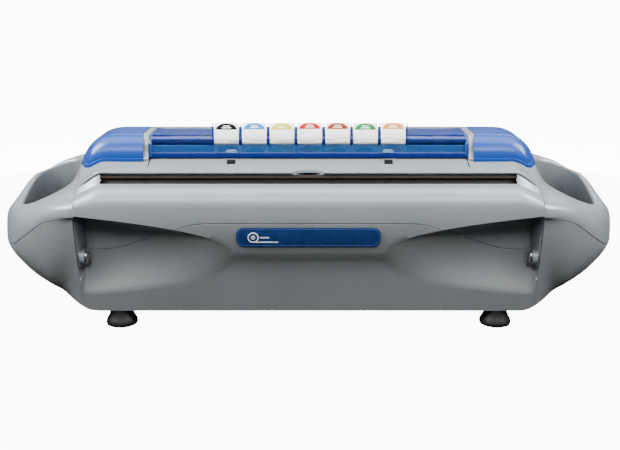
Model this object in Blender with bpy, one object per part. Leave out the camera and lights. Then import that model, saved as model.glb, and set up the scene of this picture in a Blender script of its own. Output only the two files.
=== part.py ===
"""Counter-top cling film dispenser with a label tray on its lid.

Frame: +X to the right, -Y towards the user, +Z up. The origin is on the counter under the middle
of the body. Sizes below are in millimetres and are turned into metres when a mesh is made.

The base is a tray on four suction feet with a carrying handle at each end. The lid turns on two
screws near the front and tips forward. It carries the cutter, two clear end domes and the label
tray, whose own cover hinges at its rear. The film roll turns in two cradles inside the base.
"""

import math

import bmesh
import bpy
from mathutils import Vector

MM = 0.001

# ---- driving dimensions, millimetres ---------------------------------------------------------
HALF_LENGTH = 370.0                 # middle of the body to the tip of a handle
HALF_DEPTH = 112.0                  # half depth of the body
BODY_END = 240.0                    # where the plan starts to round off into the handles
WALL = 3.0
GAP = 0.5                           # gap between lid and base
FLOOR_Z = 20.0                      # underside of the body
SCOOP_TIP, SCOOP_WALL = 87.0, 261.5  # inner tip and outer end wall of a finger scoop
SCOOP_DEPTH = 27.0
ARM_BACK = 263.0                    # rear face of a lid arm, against the base's end wall
PIVOT_Y, PIVOT_Z, ARM_R = -92.0, 88.0, 12.0
LIP_Y, LIP_Z = -95.0, 172.5         # lower lip of the film slot
DECK_Y, DECK_LIP_Z, DECK_Z = -87.0, 185.5, 196.0
SLOT_HALF = 235.0
HOLE_X, HOLE_Y = 313.5, 4.0         # middle of a handle hole
HOLE_HX, HOLE_HY = 29.5, 58.0       # its half sizes
WAIST_RISE = 2.6                    # how far the widest line of a handle is above its seam
CREST_Z = 222.0                     # top of the cover, ribs and domes
RIB_IN, RIB_OUT = 184.5, 198.0
PITCH = 32.07                       # label compartment pitch
FIRST_DIVIDER = -110.7
LABELS = 7
LABEL_Y, LABEL_Z, LABEL_R, LABEL_HALF = -8.0, 182.0, 20.5, 14.2
ROD_Y, ROD_Z, ROD_R = -49.6, 216.6, 3.5
COVER_Y, COVER_Z = 48.0, 203.0      # hinge line of the label cover
ROLL_Y, ROLL_Z, ROLL_R, ROLL_HALF = 5.0, 82.0, 55.0, 228.5
CRADLE_X, AXLE_R, SCREW_X = 241.0, 9.0, 248.2
FOOT_X, FOOT_Y = 222.0, 75.0
STATIONS = [0, 45, 80, 87, 93, 103, 120, 142, 166, 190, 214, 236, 250]
END_STATIONS = [263, 269, 277, 287, 298, 310, 322, 334, 345, 354, 361, 366, 369]

# ---- materials --------------------------------------------------------------------------------
GREY = ("silver_plastic", (0.44, 0.45, 0.47), 0.38, 0.0)
BLUE = ("blue_clear", (0.06, 0.16, 0.55), 0.15, 0.0)
BLACK = ("black_rubber", (0.02, 0.02, 0.02), 0.6, 0.0)
STEEL = ("steel", (0.55, 0.54, 0.52), 0.2, 1.0)
WHITE = ("white_nylon", (0.85, 0.85, 0.83), 0.5, 0.0)
PAPER = ("label_paper", (0.9, 0.9, 0.88), 0.8, 0.0)
FILM = ("film", (0.80, 0.84, 0.86), 0.15, 0.0)
BOARD = ("cardboard", (0.55, 0.42, 0.28), 0.9, 0.0)
NAVY = ("navy_plate", (0.02, 0.05, 0.20), 0.3, 0.0)


def material(name, colour, roughness, metallic):
    """A Principled material, made once for each name."""
    made = bpy.data.materials.get(name)
    if made is None:
        made = bpy.data.materials.new(name)
        made.use_nodes = True
        shader = made.node_tree.nodes["Principled BSDF"]
        shader.inputs["Base Color"].default_value = (*colour, 1.0)
        shader.inputs["Roughness"].default_value = roughness
        shader.inputs["Metallic"].default_value = metallic
    return made


# ---- small helpers ------------------------------------------------------------------------------
def mix(a, b, t):
    return a + (b - a) * t


def smooth(t):
    """0 below 0, 1 above 1, an S-curve between."""
    t = min(1.0, max(0.0, t))
    return t * t * (3 - 2 * t)


def curve(points, x):
    """Value at x of the smooth curve through (x, value) points."""
    if x <= points[0][0]:
        return points[0][1]
    for k in range(len(points) - 1):
        (x0, v0), (x1, v1) = points[k], points[k + 1]
        if x <= x1:
            xa, va = points[max(0, k - 1)]
            xb, vb = points[min(len(points) - 1, k + 2)]
            span, t = x1 - x0, (x - x0) / (x1 - x0)
            m0 = (v1 - va) / (x1 - xa) * span
            m1 = (vb - v0) / (xb - x0) * span
            return (
                (2 * t**3 - 3 * t**2 + 1) * v0 + (t**3 - 2 * t**2 + t) * m0
                + (3 * t**2 - 2 * t**3) * v1 + (t**3 - t**2) * m1
            )
    return points[-1][1]


def new_object(name, verts, faces, finish):
    """Closed mesh object from points in millimetres."""
    mesh = bpy.data.meshes.new(name)
    mesh.from_pydata([Vector(v) * MM for v in verts], [], faces)
    tidy(mesh, turn=True)
    mesh.materials.append(material(*finish))
    obj = bpy.data.objects.new(name, mesh)
    bpy.context.scene.collection.objects.link(obj)
    return obj


def is_flat(face):
    centre = face.calc_center_median()
    return all(abs((v.co - centre).dot(face.normal)) < 0.0005 * MM for v in face.verts)


def tidy(mesh, turn=False):
    """Welds stray points, drops slivers, splits bent faces and can turn every face outwards."""
    bm = bmesh.new()
    bm.from_mesh(mesh)
    bmesh.ops.remove_doubles(bm, verts=bm.verts, dist=0.001 * MM)
    bmesh.ops.dissolve_degenerate(bm, edges=bm.edges, dist=0.001 * MM)
    bm.normal_update()
    bmesh.ops.triangulate(bm, faces=[f for f in bm.faces if len(f.verts) > 3 and not is_flat(f)])
    if turn:
        bmesh.ops.recalc_face_normals(bm, faces=bm.faces)
    bm.to_mesh(mesh)
    bm.free()


def loft(name, rings, finish):
    """Closed body through rings of (x, y, z) points, all the same length."""
    n = len(rings[0])
    verts = [p for ring in rings for p in ring]
    faces = [tuple(range(n)), tuple(range(len(verts) - n, len(verts)))]
    for a in range(0, len(verts) - n, n):
        faces += [(a + k, a + (k + 1) % n, a + n + (k + 1) % n, a + n + k) for k in range(n)]
    return new_object(name, verts, faces, finish)


def prisms(name, pieces, finish):
    """Separate prisms along X in one mesh; pieces are (outline of (y, z), x0, x1)."""
    verts, faces = [], []
    for outline, x0, x1 in pieces:
        n, base = len(outline), len(verts)
        verts += [(x0, y, z) for y, z in outline] + [(x1, y, z) for y, z in outline]
        faces += [tuple(range(base, base + n)), tuple(range(base + n, base + 2 * n))]
        faces += [
            (base + k, base + (k + 1) % n, base + n + (k + 1) % n, base + n + k) for k in range(n)
        ]
    return new_object(name, verts, faces, finish)


def oblong(y0, y1, z0, z1):
    return [(y0, z0), (y1, z0), (y1, z1), (y0, z1)]


def turned(name, profile, finish, segments=24):
    """Body turned about Z from (radius, height) points; it closes on the axis or on itself."""
    verts, faces, rings = [], [], []
    for r, h in profile:
        count = 1 if r == 0 else segments
        rings.append([len(verts) + k for k in range(count)])
        angles = [2 * math.pi * k / segments for k in range(count)]
        verts += [(r * math.cos(a), r * math.sin(a), h) for a in angles]
    if profile[0][0] and profile[-1][0]:
        rings.append(rings[0])
    for a, b in zip(rings, rings[1:]):
        for k in range(segments):
            j = (k + 1) % segments
            corners = [a[k % len(a)], a[j % len(a)], b[j % len(b)], b[k % len(b)]]
            faces.append(tuple(dict.fromkeys(corners)))
    return new_object(name, verts, faces, finish)


def lay_along_x(obj, x, y, z, side=1):
    """Lays a piece made along Z along X, its top outwards on that side, and places it."""
    for v in obj.data.vertices:
        v.co = Vector((v.co.z * side, v.co.x, v.co.y * side))
    return place(obj, x, y, z)


def place(obj, x, y, z):
    """Moves the mesh itself, so that the origin stays at the world's."""
    for v in obj.data.vertices:
        v.co += Vector((x, y, z)) * MM
    return obj


def rods(name, spots, radius, x0, x1, segments=20):
    """Cutter cylinders along X at (y, z) spots."""
    pieces = []
    for y, z in spots:
        turn = [2 * math.pi * k / segments for k in range(segments)]
        pieces.append(([(y + radius * math.cos(a), z + radius * math.sin(a)) for a in turn], x0, x1))
    return prisms(name, pieces, GREY)


def boolean(obj, other, operation="DIFFERENCE"):
    """Applies one exact Boolean and removes the other object."""
    modifier = obj.modifiers.new("cut", "BOOLEAN")
    modifier.operation = operation
    modifier.solver = "EXACT"
    modifier.object = other
    bpy.context.view_layer.update()
    graph = bpy.context.evaluated_depsgraph_get()
    mesh = bpy.data.meshes.new_from_object(obj.evaluated_get(graph))
    obj.modifiers.clear()
    obj.data = mesh
    tidy(mesh)
    bpy.data.objects.remove(other)
    return obj


def copy_of(obj, name, shift=(0, 0, 0)):
    made = obj.copy()
    made.data = obj.data.copy()
    made.name = name
    bpy.context.scene.collection.objects.link(made)
    return place(made, *shift)


# ---- the body's form; x is always the distance from the middle ---------------------------------
def half_depth(x):
    t = min(1.0, max(0.0, (x - BODY_END) / (HALF_LENGTH - BODY_END)))
    return HALF_DEPTH * math.sqrt(max(0.004, 1 - t**2.2))


def crown_z(x):
    """Height of the top: the deck, then the back of the handle."""
    return curve([(225, 196), (238, 195), (262, 174), (275, 165), (299, 153), (320, 144.5),
                  (338, 139.5), (352, 136), (362, 128), (368, 119), (370, 113)], x)


def rear_rise(x):
    """How much higher the rear bar of a handle is than its front bar."""
    return curve([(262, 0), (275, 10), (287, 19), (300, 22.5), (319, 25), (335, 24), (348, 20),
                  (358, 13), (366, 5), (370, 0)], x)


def deck_end_z(x):
    """How much higher the top stays behind its front edge, where the front edge already falls."""
    return curve([(236, 0), (250, 9.5), (258, 16.5), (262, 18.5), (266, 15.5), (270, 10), (275, 4),
                  (280, 0)], x)


def keel_z(x):
    """Height of the underside, sweeping up to the handle's tip."""
    return curve([(248, FLOOR_Z), (256, 21.2), (263, 24.5), (278, 32.5), (303, 45), (325, 55.5),
                  (344, 68), (358, 82), (366, 92), (370, 98)], x)


def front_seam_z(x):
    """Lower edge of the lid's front between its arms."""
    return 94.0 + 39.0 * smooth((238 - x) / 123)


def end_seam_z(x):
    """Lower edge of the lid round the handles."""
    return curve([(262, 137), (280, 135.5), (298, 131), (312, 122), (331, 108), (347, 96),
                  (360, 91), (370, 90)], x)


def rear_seam_z(x):
    return mix(133.0, end_seam_z(x), smooth((x - 150) / 110))


def scoop_edges(x):
    """Lower and upper edge of the scoop; beside it, heights that keep the rows apart."""
    s = min(1.0, max(0.0, (x - SCOOP_TIP) / (SCOOP_WALL - SCOOP_TIP)))
    return min(84.0, 95.0 - 52.0 * s**0.3), max(102.0, 95.0 + 46.0 * s**0.42)


def plinth_y(z):
    return -(88.0 + 0.19 * (z - FLOOR_Z))


def bulge_y(z):
    return -114.5 + 0.0039 * (z - 138.0) ** 2


def belly_y(z):
    """The front surface beside the scoops: the plinth, then a soft step out to the bulge."""
    return mix(plinth_y(z), bulge_y(z), smooth((z - 72) / 26))


def front_y(x, z, scooped=True):
    """The front surface of the middle part, scoops included, and the depth of the scoop there."""
    low, high = scoop_edges(x)
    s = (x - SCOOP_TIP) / (SCOOP_WALL - SCOOP_TIP)
    if z <= low or z >= high or s <= 0 or not scooped:
        return belly_y(z), 0.0
    t = (z - low) / (high - low)
    depth = SCOOP_DEPTH * smooth(s * 1.15) * 2.489 * t**1.15 * (1 - t) ** 0.42
    return mix(belly_y(low), belly_y(high), t) + depth, depth


ROWS_SCOOP, ROWS_BULGE, ROWS_LIP = 5, 2, 3
SEAM_ROW = 3 + ROWS_SCOOP
TOP_ROW = SEAM_ROW + ROWS_BULGE + ROWS_LIP + 4


def trunk_section(x, scooped=True):
    """Closed (x, y, z) section of the middle part, from the bottom front up and over to the rear."""
    low, high = scoop_edges(x) if scooped else (60.0, 137.0)
    levels = [FLOOR_Z, mix(FLOOR_Z, low, 0.55), low]
    levels += [mix(low, high, (k + 1) / (ROWS_SCOOP + 1)) for k in range(ROWS_SCOOP)]
    levels += [mix(high, 149.0, k / ROWS_BULGE) for k in range(ROWS_BULGE + 1)]
    points = []
    for z in levels:
        y, depth = front_y(min(x, SCOOP_WALL), z, scooped)
        if not scooped and z < 137:
            y = -(111.5 - 23.0 * (1 - (z - FLOOR_Z) / 117.0) ** 1.35)
        points.append((x - 5.5 * depth / SCOOP_DEPTH * smooth((x - 255) / 6), y, z))
    start = bulge_y(149.0)
    for k in range(1, ROWS_LIP + 1):
        a = math.radians(90) * k / ROWS_LIP
        y = mix(LIP_Y, start, math.cos(a) ** 1.15)
        points.append((x, y, mix(149.0, LIP_Z, math.sin(a))))
    points += [(x, DECK_Y, DECK_LIP_Z), (x, -70, 191), (x, -55, 195.7)]
    points += [(x, -20, DECK_Z), (x, 40, DECK_Z), (x, 68, DECK_Z - 1)]
    for k in range(1, 4):
        a = math.radians(90) * k / 3
        points.append((x, mix(68, HALF_DEPTH, math.sin(a)), mix(150, DECK_Z - 1, math.cos(a))))
    points += [(x, HALF_DEPTH, 133), (x, 110, 75), (x, 104, 30), (x, 96, FLOOR_Z)]
    fall, lift = (crown_z(x) - 149.0) / (DECK_Z - 149.0), (keel_z(x) - FLOOR_Z) / 117.0
    made = []
    for a, y, z in points:
        stay = deck_end_z(x) / (DECK_Z - 149.0) * smooth((y + 83) / 40)
        made.append((a, y, 149 + (z - 149) * (fall + stay) if z > 149
                     else z + lift * max(0.0, 137.0 - z)))
    return made


def quarter(y0, z0, y1, z1, count, steep):
    """Points of a quarter round from (y0, z0), leaving it along Z when steep, else along Y."""
    points = []
    for k in range(1, count + 1):
        a = math.radians(90) * k / count
        s, c = math.sin(a) ** 0.9, 1 - math.cos(a) ** 0.85
        points.append((mix(y0, y1, c if steep else s), mix(z0, z1, s if steep else c)))
    return points


def end_section(x):
    """Closed section of an end block or handle."""
    depth, top, keel, seam = half_depth(x), crown_z(x), keel_z(x), end_seam_z(x) + WAIST_RISE
    block = []
    for _, y, z in trunk_section(0.0, scooped=False):
        y *= depth / HALF_DEPTH
        if z <= 137:
            z = mix(keel, seam, (z - FLOOR_Z) / 117.0)
        else:
            z = mix(seam, top, (z - 137) / (DECK_Z - 137))
        block.append((y, z))
    over, under = min(30.0, 0.5 * depth), min(40.0, 0.55 * depth)
    arm = [(-(depth - under), keel)]
    arm += quarter(-(depth - under), keel, -depth, seam, SEAM_ROW, False)
    arm += quarter(-depth, seam, -(depth - over), top, TOP_ROW - SEAM_ROW - 1, True)
    arm += [(-(depth - over) * 0.4, top), ((depth - over) * 0.4, top), (depth - over, top)]
    arm += quarter(depth - over, top, depth, seam, 4, False)
    arm += quarter(depth, seam, depth - under, keel, 3, True)
    blend = smooth((x - 263) / 40)
    rise = rear_rise(x)
    points = []
    for a, b in zip(block, arm):
        y, z = mix(a[0], b[0], blend), mix(a[1], b[1], blend)
        lifted = rise * smooth((y + 50) / 100) + deck_end_z(x) * smooth((y + 83) / 40)
        z += lifted * max(0.0, (z - seam) / (top - seam))
        points.append((x, y, z))
    return points


def inset_section(section, x, wall=WALL):
    """The section moved inwards by the wall thickness, at a new x."""
    points = [(y, z) for _, y, z in section]
    n, moved = len(points), []
    for k in range(n):
        (ya, za), (yb, zb), (yc, zc) = points[k - 1], points[k], points[(k + 1) % n]
        a = Vector((zb - za, -(yb - ya))).normalized()
        b = Vector((zc - zb, -(yc - yb))).normalized()
        inward = (a + b).normalized()
        reach = min(1.5, 1 / max(0.3, inward.dot(a)))
        moved.append((x, yb + inward.x * wall * reach, zb + inward.y * wall * reach))
    return moved


def mirror(rings):
    """The rings of the right half, mirrored and joined to them; a ring at x = 0 is not repeated."""
    left = [[(-x, y, z) for x, y, z in ring] for ring in reversed(rings) if ring[0][0] > 0]
    return left + rings


def outer_body(name):
    rings = [trunk_section(x) for x in STATIONS + [SCOOP_WALL]]
    rings += [end_section(x) for x in END_STATIONS]
    tip = end_section(370)
    middle = sum(p[2] for p in tip) / len(tip)
    rings.append([(370, y * 0.6, mix(middle, z, 0.75)) for _, y, z in tip])
    return loft(name, mirror(rings), GREY)


def cavity(name):
    rings = [inset_section(trunk_section(x), x) for x in (0, 45, 87, 103, 142, 190, 236, 250)]
    rings.append(inset_section(trunk_section(266.4), 266.4, 4.0))
    for x in (266.6, 277, 290, 304, 320, 336, 348, 356):
        outer = end_section(x + 3 * smooth((x - 300) / 60))
        rings.append(inset_section(outer, x, 4.0 if x < 280 else WALL))
    return loft(name, mirror(rings), GREY)


def hole_outline(grow, count=24):
    points = []
    for k in range(count):
        a = 2 * math.pi * (k + 0.5) / count
        c, s = math.cos(a), math.sin(a)
        scale = (abs(c) ** 3.2 + abs(s) ** 3.2) ** (-1 / 3.2)
        points.append(((HOLE_HX + grow) * scale * c, HOLE_Y + (HOLE_HY + grow) * scale * s))
    return points


def hole_prisms(name, grow):
    """Upright prisms in the two handle holes."""
    verts, faces = [], []
    outline = hole_outline(grow)
    n = len(outline)
    for side in (-1, 1):
        base = len(verts)
        for z in (-10, 260):
            verts += [(side * HOLE_X + x, y, z) for x, y in outline]
        faces += [tuple(range(base, base + n)), tuple(range(base + n, base + 2 * n))]
        faces += [
            (base + k, base + (k + 1) % n, base + n + (k + 1) % n, base + n + k) for k in range(n)
        ]
    return new_object(name, verts, faces, GREY)


def parting_solid(name, drop, spread):
    """Everything that belongs to the lid; drop lowers it, and spread widens the arms' slabs."""
    def ring(x, z_front, y_front, slope, z_rear):
        low, high = z_front - 6 * slope / 0.6, z_front + 4.2 * slope / 0.6
        outline = [(-160, low), (y_front - 10, low), (y_front + 7, high), (0, z_rear), (160, z_rear),
                   (160, 300), (-160, 300)]
        return [(x, y, z - drop if z < 299 else z) for y, z in outline]

    rings = []
    for x in (0, 45, 80, 103, 120, 130, 142, 154, 166, 178, 190, 214, 236, 250, ARM_BACK + spread):
        z = front_seam_z(x)
        rings.append(ring(x, z, front_y(min(x, 255), z)[0], 0.6, rear_seam_z(x)))
    for x in (ARM_BACK + spread + 0.02, 271, 280, 291, 301, 307, 316, 327, 340, 350, 358, 385):
        slope = 0.6 * (1 - smooth((x - 296) / 24))
        rings.append(ring(x, end_seam_z(x), -half_depth(x), slope, end_seam_z(x)))
    return loft(name, mirror(rings), GREY)


def arm_slab(radius, x_back, wedge):
    """The rounded foot of both lid arms; with the wedge it is the room they turn in."""
    turn = [math.radians(a) for a in range(180, 361, 15)]
    outline = [(PIVOT_Y + radius * math.cos(a), PIVOT_Z + radius * math.sin(a)) for a in turn]
    outline += [(PIVOT_Y + radius, 100), (PIVOT_Y - radius, 100)]
    pieces = [(outline, 253.0, x_back), (outline, -x_back, -253.0)]
    solid = prisms("arm_slab", pieces, GREY)
    if wedge:
        outline = [(-80.2, 77), (-130, 29), (-130, 100), (-80.2, 100)]
        pieces = [(outline, 253.1, x_back - 0.01), (outline, 0.01 - x_back, -253.1)]
        boolean(solid, prisms("wedge", pieces, GREY), "UNION")
    return solid


# ---- pieces --------------------------------------------------------------------------------------
def make_shells():
    """The hollow body, split along its seam into lid and base."""
    solid = outer_body("solid")
    inner = boolean(cavity("inner"), hole_prisms("grown_hole", WALL))
    boolean(solid, inner)
    boolean(solid, hole_prisms("hole", 0))
    base = copy_of(solid, "base_shell")
    solid.name = "lid_shell"
    keep = parting_solid("keep", 0, 0)
    boolean(keep, arm_slab(ARM_R, ARM_BACK - 0.03, False), "UNION")
    boolean(solid, keep, "INTERSECT")
    room = parting_solid("room", GAP, GAP)
    boolean(room, arm_slab(ARM_R + 0.6, ARM_BACK + GAP - 0.03, True), "UNION")
    boolean(base, room)
    return solid, base


def facet_point(along, depth):
    """(y, z) at a distance up the slot facet from its lower lip, and a depth behind it."""
    run, rise = DECK_Y - LIP_Y, DECK_LIP_Z - LIP_Z
    size = math.hypot(run, rise)
    u, v = run / size, rise / size
    return LIP_Y + along * u + depth * v, LIP_Z + along * v - depth * u


def facet_plate(name, low, high, front, back, half, finish):
    outline = [facet_point(low, front), facet_point(high, front), facet_point(high, back),
               facet_point(low, back)]
    return prisms(name, [(outline, -half, half)], finish)


def rib_outline(grow=0.0, foot=188.0):
    """Outline of a rib, of the tray's ends and of the domes, drawn in by a negative amount."""
    top = CREST_Z + grow
    return [(-58.5 - grow, foot), (-57 - grow, 204), (-54.5 - grow, 214), (-49 - grow * 0.7, top - 1.2),
            (-44, top), (16, top), (30 + grow * 0.4, top - 3.4), (43 + grow * 0.7, top - 9.5),
            (54 + grow, 204), (58 + grow, foot)]


def cut_lid(lid):
    """Ribs, bay for the label tray, film slot, clip windows and screw holes."""
    for side in (-1, 1):
        ends = sorted((side * RIB_IN, side * RIB_OUT))
        boolean(lid, prisms("rib", [(rib_outline(), *ends)], GREY), "UNION")
        ends = sorted((side * (RIB_IN + WALL), side * (RIB_OUT - WALL)))
        boolean(lid, prisms("hollow", [(rib_outline(-WALL, 182.0), *ends)], GREY))
    bay = prisms("bay", [(oblong(-51.3, 36.4, 180, 210), -181.7, 181.7)], GREY)
    boolean(lid, bay)
    boolean(lid, facet_plate("slot", 1.2, 13.3, -4, 8, SLOT_HALF, GREY))
    for x in (-89.0, 92.0):
        outline = [deck_point(-70.0, -4), deck_point(-57.6, -4), deck_point(-57.6, 4), deck_point(-70.0, 4)]
        boolean(lid, prisms("window", [(outline, x - 5, x + 5)], GREY))
    for side in (-1, 1):
        ends = sorted((side * 256.0, side * 262.0))
        boolean(lid, rods("boss", [(PIVOT_Y, PIVOT_Z)], 9.6, *ends, 24), "UNION")
    for ends in ((-268, -250), (250, 268)):
        boolean(lid, rods("hole", [(PIVOT_Y, PIVOT_Z)], 4.3, *ends))
    lid.data.materials.clear()
    lid.data.materials.append(material(*GREY))
    return lid


def deck_point(y, rise):
    """(y, z) at a height above the sloping front of the deck."""
    return y, 191 + (y + 70) * 4.7 / 15 + rise


def cut_base(base):
    """Screw holes for the lid, the feet and the roll cradles."""
    for ends in ((-268, -255), (255, 268)):
        boolean(base, rods("hole", [(PIVOT_Y, PIVOT_Z)], 4.3, *ends))
    for side in (-1, 1):
        for y in (-FOOT_Y, FOOT_Y):
            hole = turned("hole", [(0, 0), (3.3, 0), (3.3, 40), (0, 40)], GREY, 12)
            boolean(base, place(hole, side * FOOT_X, y, 0))
        for y in (-22, 32):
            hole = turned("hole", [(0, 0), (2.1, 0), (2.1, 40), (0, 40)], GREY, 12)
            boolean(base, place(hole, side * SCREW_X, y, 0))
    return base


def make_feet():
    """Rubber suction feet, each with a stud through the floor."""
    profile = [(0, 1.5), (10, 1.5), (12.5, 0), (17, 0), (18.4, 1.6), (18.6, 4), (17.6, 7.2), (15.4, 11),
               (13.6, 15), (13, 19.7), (3, 19.7), (3, 25.5), (0, 25.5)]
    feet = []
    for side, hand in ((-1, "left"), (1, "right")):
        for y, end in ((-FOOT_Y, "front"), (FOOT_Y, "rear")):
            foot = turned(f"suction_foot_{end}_{hand}", profile, BLACK, 24)
            feet.append(place(foot, side * FOOT_X, y, 0))
    return feet


def make_screw(name, head, shank, length, depth):
    """Screw along Z, its head's top at 0 and a cross recess in it."""
    screw = turned(name, [(0, -length), (shank, -length), (shank, -depth), (head, -depth),
                          (head, -0.9), (head - 1.2, 0), (0, 0)], STEEL, 20)
    for a, b in ((0.62, 0.14), (0.14, 0.62)):
        half = (head * a, head * b)
        corners = [(-half[0], -half[1]), (half[0], -half[1]), (half[0], half[1]), (-half[0], half[1])]
        rings = [[(x, y, z) for x, y in corners] for z in (-1.4, 2)]
        boolean(screw, loft("recess", rings, STEEL))
    return screw


def make_cradles():
    """Upright plates with an open slot for the roll's axle, each on a foot held by two screws."""
    slot = [(ROLL_Y + 9.4 * math.cos(a), ROLL_Z + 9.4 * math.sin(a))
            for a in [math.radians(d) for d in range(180, 361, 20)]]
    outline = [(-40, 23.3), (50, 23.3), (28, 97), (17, 99), (ROLL_Y + 9.4, 94)] + slot[::-1]
    outline += [(ROLL_Y - 9.4, 94), (-7, 99), (-18, 97)]
    made = []
    for side, hand in ((-1, "left"), (1, "right")):
        ends = sorted((side * (CRADLE_X - 3), side * (CRADLE_X + 3)))
        cradle = prisms(f"roll_cradle_{hand}", [(outline, *ends)], GREY)
        ends = sorted((side * CRADLE_X, side * 252))
        boolean(cradle, prisms("foot", [(oblong(-36, 46, 24.3, 27.6), *ends)], GREY), "UNION")
        for y, end in ((-22, "front"), (32, "rear")):
            hole = turned("hole", [(0, 0), (2.1, 0), (2.1, 40), (0, 40)], GREY, 12)
            boolean(cradle, place(hole, side * SCREW_X, y, 0))
            screw = make_screw(f"cradle_screw_{end}_{hand}", 3.2, 1.8, 11.5, 2.0)
            made.append(place(screw, side * SCREW_X, y, 29.9))
        made.append(cradle)
    return made


def make_film_roll():
    """Core tube, wound film and the two hubs that turn in the cradles."""
    core = turned("roll_core", [(19, -ROLL_HALF - 1), (21.5, -ROLL_HALF - 1), (21.5, ROLL_HALF + 1),
                                (19, ROLL_HALF + 1)], BOARD, 32)
    wind = turned("film_wind", [(21.8, -ROLL_HALF), (ROLL_R, -ROLL_HALF), (ROLL_R, ROLL_HALF),
                                (21.8, ROLL_HALF)], FILM, 48)
    made = [core, wind]
    for obj in made:
        lay_along_x(obj, 0, ROLL_Y, ROLL_Z)
    for side, hand in ((-1, "left"), (1, "right")):
        hub = turned(f"roll_hub_{hand}", [(0, 205), (17.6, 205), (18.7, 208), (18.7, 229.8),
                                          (30, 229.8), (30, 232.6), (12, 233.6), (AXLE_R, 233.6),
                                          (AXLE_R, 247), (7.5, 248.5), (0, 248.5)], WHITE, 32)
        made.append(lay_along_x(hub, 0, ROLL_Y, ROLL_Z, side))
    return made


def make_tray():
    """Trough with raised ends, a front wall with a ledge, and the compartment dividers."""
    outline = [(-56.5, 196.4), (-51, 196.4), (-51, 172), (-30.2, 158.5), (14, 158.5), (33, 170),
               (36, 182), (36, 196.4), (41, 196.4), (41, 198.4), (34, 198.4), (34, 182.5),
               (31.3, 171.2), (13.2, 160.5), (-29.5, 160.5), (-49, 173), (-49, 200), (-51.6, 202),
               (-51.6, 210.6), (-53.6, 210.6), (-53.6, 202), (-56.5, 202)]
    tray = prisms("label_tray", [(outline, -181.2, 181.2)], BLUE)
    plate = [(-50, 172.5), (-29.8, 159.5), (13.6, 159.5), (32.2, 170.7), (35, 182), (35, 200),
             (31, 210), (22, 215), (12, 218.6), (-43.5, 218.6), (-43.5, 211), (-50, 204)]
    spots = [FIRST_DIVIDER + k * PITCH for k in range(10)]
    boolean(tray, prisms("dividers", [(plate, x - 0.6, x + 0.6) for x in spots], BLUE), "UNION")
    closing = [(-50, 172.5), (-29.8, 159.5), (13.6, 159.5), (32.2, 170.7), (35, 182), (35, 201),
               (-50, 201)]
    for side in (-1, 1):
        ends = sorted((side * 179.2, side * 181.35))
        boolean(tray, prisms("closing", [(closing, *ends)], BLUE), "UNION")
        ends = sorted((side * 181.1, side * 184.1))
        boolean(tray, prisms("end", [(rib_outline(-0.3, 196.5), *ends)], BLUE), "UNION")
    boolean(tray, rods("hole", [(LABEL_Y, LABEL_Z)], 4.3, -150, 179))
    boolean(tray, rods("hole", [(COVER_Y, COVER_Z)], 1.8, -200, 200, 12))
    return tray


def make_cover():
    """Cover of the label tray: a flat top rolling down to a barrel at its hinge."""
    barrel = [(COVER_Y + 3 * math.cos(a), COVER_Z + 3 * math.sin(a))
              for a in [math.radians(d) for d in range(60, -181, -30)]]
    outline = [(-45, 219.6), (-45, CREST_Z), (15, CREST_Z), (29, 219), (41, 213)] + barrel
    outline += [(38.5, 211), (28, 216.6), (14, 219.6)]
    cover = prisms("label_cover", [(outline, -180.7, 180.7)], BLUE)
    boolean(cover, rods("hole", [(COVER_Y, COVER_Z)], 1.8, 176, 200, 12))
    boolean(cover, rods("hole", [(COVER_Y, COVER_Z)], 1.8, -200, -176, 12))
    return cover


def dome_outline(grow, foot):
    """Outline of a dome: a rib's outline whose front swells forwards towards the deck."""
    return [(y - (5.0 * smooth((CREST_Z - z) / 18) if y < 0 else 0.0), z)
            for y, z in rib_outline(grow, foot)]


def make_domes(lid_solid):
    """Clear end domes, trimmed to stand just above the lid."""
    made = []
    stations = [(198.4, 0.0), (222, 0.0), (236, 1.2), (247, 5.5), (254, 11.5), (259, 18), (263, 26),
                (266, 36), (268, 50)]
    for side, hand in ((-1, "left"), (1, "right")):
        def rings(inward, x_stop):
            sections = []
            for x, fall in stations:
                narrow = 1 - 0.10 * smooth((x - 250) / 20)
                x_new = max(x, 200.6) if inward else x
                x_new = min(x_new, x_stop)
                outline = dome_outline(-inward, 150.0)
                sections.append([(side * x_new, y * narrow, max(150, z - fall))
                                 for y, z in outline])
            return sections
        dome = loft(f"end_dome_{hand}", rings(0.0, 268.0), BLUE)
        boolean(dome, loft("inside", rings(2.2, 265.5), BLUE))
        boolean(dome, copy_of(lid_solid, "trim", (0, 0, 0.5)))
        dome.data.materials.clear()
        dome.data.materials.append(material(*BLUE))
        made.append(dome)
    return made


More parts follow.
